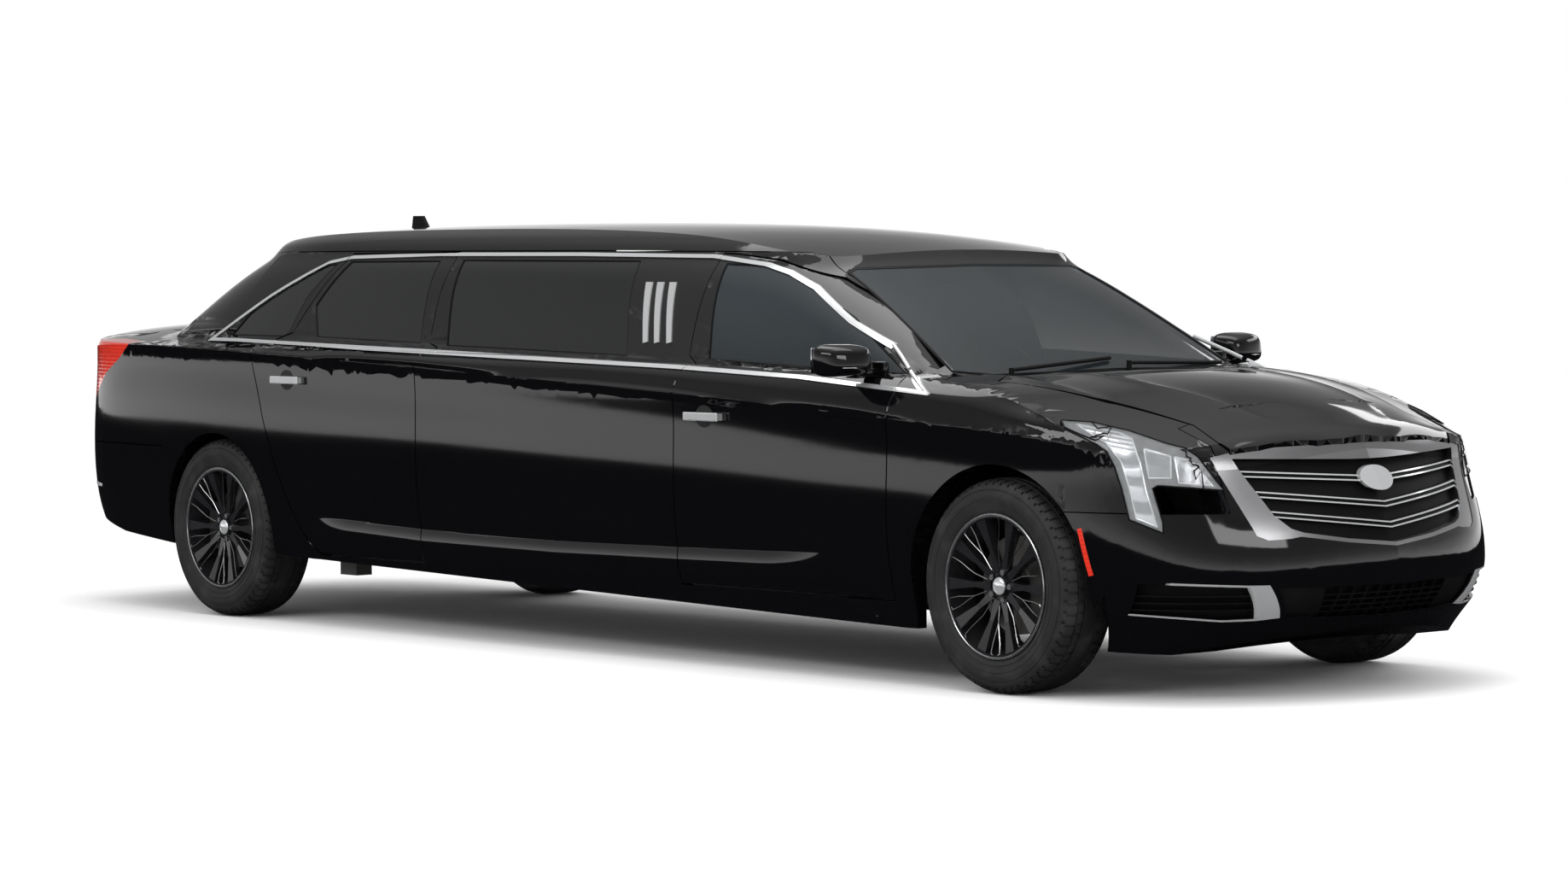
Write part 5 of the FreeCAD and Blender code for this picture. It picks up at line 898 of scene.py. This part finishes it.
class LIMOUSINE_OT_creases(bpy.types.Operator):
    """Pressed lines of the hood and the lower door crease"""

    bl_idname = "limousine.creases"
    bl_label = "Creases"

    HOOD_LINES = (
        ((0.930, 0.405), (0.985, 0.400), (1.208, 0.396), (1.534, 0.345), (1.744, 0.274)),
        ((0.930, 0.632), (0.996, 0.668), (1.269, 0.655), (1.459, 0.612), (1.600, 0.590)),
    )
    FOLD_LINE = ((-0.895, 0.680), (-0.76, 0.690), (-0.48, 0.695), (-0.10, 0.690), (0.11, 0.675), (0.31, 0.655),
                 (0.65, 0.615), (0.90, 0.575), (1.10, 0.553), (1.25, 0.538))
    DOOR_LINE = ((0.14, 0.280), (0.31, 0.263), (0.49, 0.259), (0.64, 0.265), (0.75, 0.271), (0.85, 0.279),
                 (0.90, 0.296))

    def rise(self, lines, x, y):
        """Height of the hood's pressed lines at a place."""
        rise = 0.0
        for line in lines:
            best = 9.0
            for (x0, y0), (x1, y1) in zip(line, line[1:]):
                part = min(max(((x - x0) * (x1 - x0) + (abs(y) - y0) * (y1 - y0))
                               / ((x1 - x0) ** 2 + (y1 - y0) ** 2), 0.0), 1.0)
                best = min(best, math.hypot(x - x0 - part * (x1 - x0), abs(y) - y0 - part * (y1 - y0)))
            ends = share_of(x, line[0][0] - 0.01, line[0][0] + 0.10)
            ends *= 1.0 - share_of(x, line[-1][0] - 0.22, line[-1][0])
            rise = max(rise, sizes().hood_line * ends * math.exp(-best / 0.030))
        return rise

    def swell(self, x, z):
        """How far the doors stand out below their lower crease."""
        level = along(self.door, x)
        depth = level - z
        span = level - 0.262
        if depth <= 0 or depth >= span:
            return 0.0
        ends = share_of(x, station(0.10), station(0.20)) * (1.0 - share_of(x, station(0.74), station(0.885)))
        return sizes().door_line * ends * math.sin(math.pi * depth / span)

    def execute(self, context):
        lines = [[(station(s), HALF * w) for s, w in points] for points in self.HOOD_LINES]
        self.door = [(station(s), z * HEIGHT) for s, z in self.DOOR_LINE]
        planes = slices(0, range(2200, 3320, 45)) + slices(1, range(-690, 700, 45))
        for line in lines:
            for (x0, y0), (x1, y1) in zip(line, line[1:]):
                for side in (1, -1):
                    planes.append(((x0, side * y0, 0), (y1 - y0, -side * (x1 - x0), 0)))
        skin = Skin(["hood"], 2, 0.3, lambda co: co.z > 0.7, (10, 4), True)
        hood = creased("hood", "hood_skin", planes,
                       lambda co: Vector((co.x, co.y, co.z + self.rise(lines, co.x, co.y))))
        skin.shade(hood, lambda x, y: 1.0, lambda x, y: self.rise(lines, x, y), 0.3, 0.012)

        def push(co):
            if abs(co.y) < 0.835:
                return co
            return Vector((co.x, co.y + math.copysign(self.swell(co.x, co.z), co.y), co.z))

        self.fold = [(station(s), z * HEIGHT) for s, z in self.FOLD_LINE]
        names = ["body_side_left", "door_front_left", "door_rear_left", "front_fenders"]
        under = Skin(names, 1, 0.75, lambda co: co.y > 0.8
                     and 0.27 < co.z < along(self.fold, co.x) - 0.008, (12, 7))
        over = Skin(names, 1, 0.25, lambda co: co.y > 0.70 and -3.2 < co.x < 3.0
                    and along(self.fold, co.x) + 0.002 < co.z < along(self.fold, co.x) + 0.12, (12, 4))
        spans = {"door_rear": (-1750, -640), "door_front": (760, 2000), "body_side": (-3150, 2060)}
        for part, (x0, x1) in spans.items():
            cuts = slices(0, range(x0, x1, 60)) + slices(2, [*range(270, 480, 14), *range(480, 1000, 28)])
            for s0, s1 in list(zip(self.door, self.door[1:])) + list(zip(self.fold, self.fold[1:])):
                if s1[0] > x0 / 1000.0 and s0[0] < x1 / 1000.0:
                    cuts.append(((s0[0], 0, s0[1]), (s1[1] - s0[1], 0, -(s1[0] - s0[0]))))
            for name in sides(part):
                obj = creased(name, name + "_skin", cuts, push)
                under.shade(obj, self.low_share, self.side_form)
                over.shade(obj, self.high_share, lambda x, z: 0.0, 0.2)
        cuts = slices(0, range(2000, 3200, 50)) + slices(2, range(300, 1000, 40))
        fenders = creased("front_fenders", "fender_skin", cuts, lambda co: co)
        under.shade(fenders, self.low_share, self.side_form)
        over.shade(fenders, self.high_share, lambda x, z: 0.0, 0.2)
        return {"FINISHED"}

    def side_form(self, x, z):
        """What is pressed into the side: the lower crease and the undercut below the shoulder."""
        fold = along(self.fold, x)
        deep = 0.004 + 0.010 * share_of(x, station(0.0), station(0.80))
        deep *= 1.0 - share_of(x, station(0.93), station(1.0))
        lean = 0.16 * max(0.0, min(z, fold - 0.030) - 0.79) ** 2
        return self.swell(x, z) - lean + deep * share_of(z, fold - 0.028, fold - 0.004)

    def high_share(self, x, z):
        """Where the smooth surface above the shoulder shades the side."""
        fold = along(self.fold, x)
        return ((1.0 if z > fold - 0.001 else 0.0) * (1.0 - share_of(z, fold + 0.10, fold + 0.12))
                * share_of(x, *SHOULDER_ENDS) * (1.0 - share_of(x, 2.60, 2.80)))

    def low_share(self, x, z):
        """Where the side's smooth surface shades it: below the shoulder, away from the ends."""
        return ((1.0 if z < along(self.fold, x) - 0.001 else 0.0) * share_of(z, 0.265, 0.30)
                * share_of(x, *SHOULDER_ENDS) * (1.0 - share_of(x, 2.75, 2.95)))


class LIMOUSINE_OT_trim(bpy.types.Operator):
    """Bright line down the front pillar to its tip"""

    bl_idname = "limousine.trim"
    bl_label = "Trim"

    def execute(self, context):
        spots = [(1.800, 0.722, 1.142), (1.880, 0.757, 1.106), (1.940, 0.786, 1.078), (1.968, 0.800, 1.064),
                 (1.985, 0.808, 1.056), (2.060, 0.842, 1.020), (2.120, 0.868, 0.994)]
        for title, run, node in (("pillar_trim_", spots[:4], "door_front"), ("tip_trim_", spots[4:], None)):
            for side, piece in pair(wire(run, sizes().trim_line)):
                body = BODY_OF[node + "_" + side] if node else "body"
                keep(piece, title + side, body, chrome(), "bright_trim", 40.0)
        return {"FINISHED"}


class LIMOUSINE_OT_lamps(bpy.types.Operator):
    """Bright outlines in the headlamps and dark seals round the glass"""

    bl_idname = "limousine.lamps"
    bl_label = "Lamps and seals"

    def execute(self, context):
        def both(name, facing, radius, least=0.5):
            """Lines round a node's faces on either side of the car."""
            ways = [(facing[0], side * facing[1], facing[2]) for side in (1, -1)]
            return [rim_lines(name, way, radius, least) for way in ways]

        trims = joined(both("lamp_lights", LAMP_FACING, 0.0028, 0.45))
        keep(trims, "lamp_outlines", "body", chrome(), "bright_trim", 40.0)
        keep_seal(joined(both("headlamps", LAMP_FACING, 0.0030, 0.35)), "lamp_seals")
        fixed = both("side_glass", (0, 1, 0.3), 0.0045)
        fixed.append(rim_lines("windshield", (0.5, 0, 0.85), 0.0055))
        fixed.append(rim_lines("rear_window", (-0.5, 0, 0.85), 0.0055))
        keep_seal(joined(fixed), "window_seals")
        for place in ("front_", "rear_"):
            for way, side in ((1, "left"), (-1, "right")):
                node = "door_glass_" + place + side
                keep_seal(rim_lines(node, (0, way, 0.3), 0.0045), "door_seal_" + place + side, BODY_OF[node])
        return {"FINISHED"}


class LIMOUSINE_OT_mirrors(bpy.types.Operator):
    """Door mirrors with their glass and chrome line, and the mirror inside the windshield"""

    bl_idname = "limousine.mirrors"
    bl_label = "Mirrors"

    def execute(self, context):
        low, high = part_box("mirror_left")
        middle = Vector(((low.x + high.x) / 2, (MIRROR_ROOT + high.y) / 2, (low.z + high.z) / 2 + 0.002))
        shell = start("cube", size=1.0, location=middle)
        extent = Vector((high.x - low.x, high.y - MIRROR_ROOT, high.z - low.z)) * 1.02
        bpy.ops.transform.resize(value=extent, center_override=middle)
        bpy.ops.mesh.subdivide(number_cuts=1)
        object_mode()
        settled(shell)
        for vertex in shell.data.vertices:
            part = (vertex.co - middle)
            ahead = (part.x / extent.x) + 0.5
            up = (part.z / extent.z) + 0.5
            out = (part.y / extent.y) + 0.5
            vertex.co.y = middle.y + part.y * (1.0 - 0.16 * ahead * ahead)
            vertex.co.z = middle.z + part.z * (1.0 - 0.22 * ahead * ahead)
            vertex.co.x -= 0.012 * up * ahead + 0.030 * out * out * ahead
        only(shell)
        smooth = shell.modifiers.new("Smooth", "SUBSURF")
        smooth.levels = smooth.render_levels = 3
        bpy.ops.object.modifier_apply(modifier="Smooth")
        arm = block((low.x + 0.045, 0.806, low.z - 0.001), (low.x + 0.105, 0.93, low.z + 0.034), 0.010, 3)
        stand = block((low.x + 0.040, MIRROR_FOOT, low.z - 0.004), (low.x + 0.135, 0.826, low.z + 0.055),
                      0.008, 3)
        case = joined([shell, arm, stand])
        glassy = block((low.x - 0.0005, middle.y - extent.y * 0.40, middle.z - extent.z * 0.36),
                       (low.x + 0.004, middle.y + extent.y * 0.42, middle.z + extent.z * 0.36), 0.0018, 2)
        level = middle.z - extent.z * 0.20
        line = []
        for step in range(13):
            angle = math.radians(-70 + step * 14)
            line.append((middle.x - 0.006 + 0.068 * math.cos(angle),
                         middle.y + 0.004 + 0.072 * math.sin(angle), level))
        stripe = wire(line, 0.0016)
        for obj, title, shine, slot in ((case, "mirror_case_", black_paint(), "black_paint"),
                                        (glassy, "mirror_pane_", mirror_glass(), None),
                                        (stripe, "mirror_stripe_", chrome(), "bright_trim")):
            for side, piece in pair(obj):
                node = "mirror_" + side
                keep(piece, title + side, BODY_OF[node], shine, slot, 40.0, [node] if obj is case else ())
        inner = block((1.335, -0.115, 1.285), (1.362, 0.115, 1.345), 0.010, 3)
        stem = wire([(1.355, 0, 1.33), (1.400, 0, 1.365), (1.415, 0, 1.380)], 0.009, False, 3)
        keep_seal(joined([inner, stem]), "inner_mirror")
        pane = block((1.3335, -0.105, 1.293), (1.3355, 0.105, 1.337), 0.0008, 1)
        keep(pane, "inner_mirror_pane", "body", mirror_glass(), None, 40.0)
        return {"FINISHED"}


# Seats
def fill_pad(obj):
    """Swells a closed form as a stuffed pad, with a limit on how far its skin moves."""
    only(obj)
    remesh = obj.modifiers.new("Remesh", "REMESH")
    remesh.mode = "VOXEL"
    remesh.voxel_size = sizes().voxel
    bpy.ops.object.modifier_apply(modifier="Remesh")
    rest = [vertex.co.copy() for vertex in obj.data.vertices]
    cloth = obj.modifiers.new("Cloth", "CLOTH")
    cloth.settings.quality = 4
    cloth.settings.use_pressure = True
    cloth.settings.uniform_pressure_force = PAD_PRESSURE
    cloth.settings.effector_weights.gravity = 0.0
    cloth.point_cache.frame_start = 1
    cloth.point_cache.frame_end = PAD_FRAMES
    for frame in range(1, PAD_FRAMES + 1):
        bpy.context.scene.frame_set(frame)
    bpy.ops.object.modifier_apply(modifier="Cloth")
    bpy.context.scene.frame_set(1)
    for vertex, before in zip(obj.data.vertices, rest):
        move = vertex.co - before
        if move.length > sizes().swell:
            vertex.co = before + move.normalized() * sizes().swell
    smooth = obj.modifiers.new("Smooth", "SUBSURF")
    smooth.levels = 1
    smooth.render_levels = 1
    bpy.ops.object.modifier_apply(modifier="Smooth")
    return obj


def stuffed(low, high, turn, seams):
    """A pad between two corners, with sewn channels across it, leaned about a pivot."""
    low, high = Vector(low), Vector(high)
    middle = (low + high) / 2
    slim = Vector((0.010, 0.010, 0.010))
    obj = block(low + slim, high - slim, 0.030, 3)
    fill_pad(obj)
    for vertex in obj.data.vertices:
        co = vertex.co
        for axis, place, reach, face, side in seams:
            near = math.exp(-((co[axis] - place) / reach) ** 2)
            outer = (co[face] - middle[face]) * side
            if outer > 0:
                co[face] -= side * 0.010 * near
    for vertex in obj.data.vertices:
        for axis in range(3):
            vertex.co[axis] = min(max(vertex.co[axis], low[axis]), high[axis])
    if turn:
        obj.data.transform(turn)
    return obj


class LIMOUSINE_OT_seats(bpy.types.Operator):
    """Stuffed seats with sewn channels, on their bases"""

    bl_idname = "limousine.seats"
    bl_label = "Seats"

    def execute(self, context):
        def channels(axis, low, span, count, face, side=1):
            """Evenly spaced sewn lines across a pad, in its face that looks to one side."""
            return [(axis, low + span * n / count, 0.008, face, side) for n in range(1, count)]

        pads = {}
        for label, share, y, half, count, heads in (("front_left", FRONT_SEAT, 0.36, 0.26, 6, (0.0,)),
                                                    ("rear_bench", REAR_SEAT, 0.0, 0.60, 12, (-0.36, 0.36))):
            x = station(share)
            lean = turned(Vector((x, 0, SEAT_PIVOT)))
            cushion = stuffed((x, y - half, SEAT_LOW), (x + 0.52, y + half, SEAT_HIGH), None,
                              channels(1, y - half, half * 2, count, 2))
            back = stuffed((x - 0.0975, y - half, 0.466), (x + 0.0525, y + half, 1.035), lean,
                           channels(1, y - half, half * 2, count, 0))
            pads[label] = [("seat_cushion_" + label, cushion), ("seat_back_" + label, back)]
            for index, offset in enumerate(heads):
                head = stuffed((x - 0.09, y + offset - 0.115, 1.069), (x, y + offset + 0.115, 1.239), lean,
                               [(2, 1.154, 0.006, 0, 1)])
                pads[label].append(("headrest_%s_%d" % (label, index), head))
        pads["front_right"] = [(name.replace("left", "right"), twin(obj, mirrored=True))
                               for name, obj in pads["front_left"]]
        x0, x1 = station(BENCH[0]), station(BENCH[1])
        pads["side_bench"] = [
            ("seat_cushion_side_bench", stuffed((x0, 0.234, SEAT_LOW), (x1, 0.702, SEAT_HIGH), None,
                                                channels(0, x0, x1 - x0, 10, 2))),
            ("seat_back_side_bench", stuffed((x0, 0.597, SEAT_LOW), (x1, 0.702, 0.864), None,
                                             channels(0, x0, x1 - x0, 10, 1, -1)))]
        for group in pads.values():
            for name, obj in group:
                keep(obj, name, "body", leather(), "seat_leather", 60.0)
        bases = []
        for x, inner, outer in ((station(FRONT_SEAT), 0.178, 0.542), (station(REAR_SEAT), 0.166, 0.42)):
            for y0, y1 in ((inner, outer), (-outer, -inner)):
                bases.append(block((x + 0.062, y0, BASE_LOW), (x + 0.458, y1, BASE_HIGH), 0.012))
        bases.append(block((x0 + 0.034, 0.286, BASE_LOW), (x1 - 0.034, 0.668, BASE_HIGH), 0.012))
        for x, spots in ((station(FRONT_SEAT), (0.36, -0.36)), (station(REAR_SEAT), (-0.36, 0.36))):
            lean = turned(Vector((x, 0, SEAT_PIVOT)))
            for y in spots:
                for side in (-0.045, 0.045):
                    ends = [lean @ Vector((x - 0.045, y + side, z)) for z in (1.00, 1.10)]
                    bases.append(wire(ends, 0.006))
        keep(joined(bases), "seat_bases", "body", cabin_vinyl(), None, 35.0)
        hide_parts("front_seats")
        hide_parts("rear_seats")
        return {"FINISHED"}


class LIMOUSINE_OT_stage(bpy.types.Operator):
    """Camera at the photograph's angle, pale floor that shows near-black in reflections near the car (a painted
    dark reflection), and soft studio light
    """

    bl_idname = "limousine.stage"
    bl_label = "Stage"

    PANELS = (("top_panel", (0, 0, 6.5), (0, 0, 0), (9.0, 4.0), 260.0),
              ("right_panel", (1.0, -9.0, 5.0), (0, 0, 0.6), (9.0, 1.6), 200.0),
              ("left_panel", (1.0, 9.0, 5.0), (0, 0, 0.6), (9.0, 1.6), 120.0),
              ("nose_panel", (11.0, -2.0, 4.0), (2.5, 0, 0.6), (5.0, 1.6), 120.0))

    def execute(self, context):
        scene = bpy.context.scene
        scene.view_settings.view_transform = "Standard"
        camera = bpy.data.objects.new("camera", bpy.data.cameras.new("camera"))
        scene.collection.objects.link(camera)
        camera.data.sensor_width = 36.0
        camera.data.sensor_fit = "HORIZONTAL"
        camera.data.lens = CAMERA_LENS
        camera.data.clip_start, camera.data.clip_end = 0.1, 1000.0
        yaw, pitch, roll = CAMERA_TURN
        ahead = Vector((math.cos(pitch) * math.cos(yaw), math.cos(pitch) * math.sin(yaw), math.sin(pitch)))
        right = ahead.cross(Vector((0, 0, 1))).normalized()
        above = right.cross(ahead)
        across = right * math.cos(roll) + above * math.sin(roll)
        upward = above * math.cos(roll) - right * math.sin(roll)
        turn = Matrix((across, upward, -ahead)).transposed().to_4x4()
        camera.matrix_world = Matrix.Translation(CAMERA_PLACE) @ turn
        scene.camera = camera

        floor = start("plane", size=400.0, location=(0, 0, -0.0005))
        bpy.ops.mesh.subdivide(number_cuts=6)
        object_mode()
        floor.name = "floor"
        floor.data.materials.append(self.floor_finish())
        self.sky(scene)
        for name, place, target, size, power in self.PANELS:
            self.lamp(name, place, target, size, power)
        return {"FINISHED"}

    def floor_finish(self):
        material = bpy.data.materials.new("pale_floor")
        material.use_nodes = True
        graph = Graph(material.node_tree)
        spot, x, y, z = graph.place()
        path = graph.raw("ShaderNodeLightPath")
        glossy = Level(graph, path.outputs["Is Glossy Ray"])
        seen = Level(graph, path.outputs["Is Camera Ray"])
        reach = (x * x + y * y).math("SQRT")
        far = reach.step(*FLOOR_SEEN)
        mirrored = reach.step(*FLOOR_MIRRORED) * glossy
        cloud = graph.noise(spot, 2.0, 2.0)
        pale = graph.blend(cloud * 0.1, colours().floor, (0.95, 0.95, 0.95))
        # Painted reflection: glossy rays see the floor near-black near the car, and far out a brighter white
        # than the camera sees
        colour = graph.blend(glossy, pale, (0.010, 0.010, 0.011))
        near = graph.node("ShaderNodeBsdfDiffuse", None, {"Color": colour})
        white = graph.node("ShaderNodeEmission", None, {"Color": (1, 1, 1, 1), "Strength": 1.0 + glossy * 0.36})
        mixed = graph.node("ShaderNodeMixShader", None, {0: (far * seen).most(mirrored), 1: near, 2: white})
        graph.raw("ShaderNodeOutputMaterial", None, {"Surface": mixed})
        return material

    def sky(self, scene):
        world = bpy.data.worlds.new("studio")
        scene.world = world
        world.use_nodes = True
        graph = Graph(world.node_tree)
        way = graph.node("ShaderNodeTexCoord", None, None, "Generated")
        parts = graph.raw("ShaderNodeSeparateXYZ", None, {"Vector": way})
        up = Level(graph, parts.outputs["Z"])
        path = graph.raw("ShaderNodeLightPath")
        glossy = Level(graph, path.outputs["Is Glossy Ray"])
        rise = graph.node("ShaderNodeMapRange", None, {"Value": up, "From Min": -0.1, "From Max": 0.9})
        ramp = graph.node("ShaderNodeValToRGB", {"stops": SKY_STOPS}, {"Fac": rise}, 0)
        shown = graph.blend(glossy, (1.0, 1.0, 1.0), ramp)
        back = graph.node("ShaderNodeBackground", None, {"Color": shown, "Strength": 1.0 + glossy * 1.9})
        graph.raw("ShaderNodeOutputWorld", None, {"Surface": back})

    def lamp(self, name, place, target, size, power):
        light = bpy.data.lights.new(name, "AREA")
        light.shape = "RECTANGLE"
        light.size, light.size_y = size
        light.energy = power
        lamp = bpy.data.objects.new(name, light)
        bpy.context.scene.collection.objects.link(lamp)
        lamp.location = place
        lamp.rotation_euler = (Vector(target) - Vector(place)).to_track_quat("-Z", "Y").to_euler()


class LIMOUSINE_PT_panel(bpy.types.Panel):
    bl_label = "Stretch limousine"
    bl_idname = "LIMOUSINE_PT_panel"
    bl_space_type = "VIEW_3D"
    bl_region_type = "UI"
    bl_category = "Limousine"

    def draw(self, context):
        layout = self.layout
        for name in LimousineColours.__annotations__:
            layout.prop(context.scene.limousine_colours, name)
        for name in LimousineSizes.__annotations__:
            layout.prop(context.scene.limousine_sizes, name)
        for operator in OPERATORS:
            layout.operator(operator.bl_idname)


OPERATORS = [LIMOUSINE_OT_stage, LIMOUSINE_OT_finishes, LIMOUSINE_OT_tyres, LIMOUSINE_OT_wheels,
             LIMOUSINE_OT_creases, LIMOUSINE_OT_trim, LIMOUSINE_OT_lamps, LIMOUSINE_OT_mirrors,
             LIMOUSINE_OT_seats]
CLASSES = [LimousineColours, LimousineSizes] + OPERATORS + [LIMOUSINE_PT_panel]


def register():
    for item in CLASSES:
        bpy.utils.register_class(item)
    bpy.types.Scene.limousine_colours = bpy.props.PointerProperty(type=LimousineColours)
    bpy.types.Scene.limousine_sizes = bpy.props.PointerProperty(type=LimousineSizes)


def unregister():
    del bpy.types.Scene.limousine_sizes
    del bpy.types.Scene.limousine_colours
    for item in reversed(CLASSES):
        bpy.utils.unregister_class(item)


def main():
    register()
    for operator in OPERATORS:
        group, name = operator.bl_idname.split(".")
        getattr(getattr(bpy.ops, group), name)()


if __name__ == "__main__":
    main()
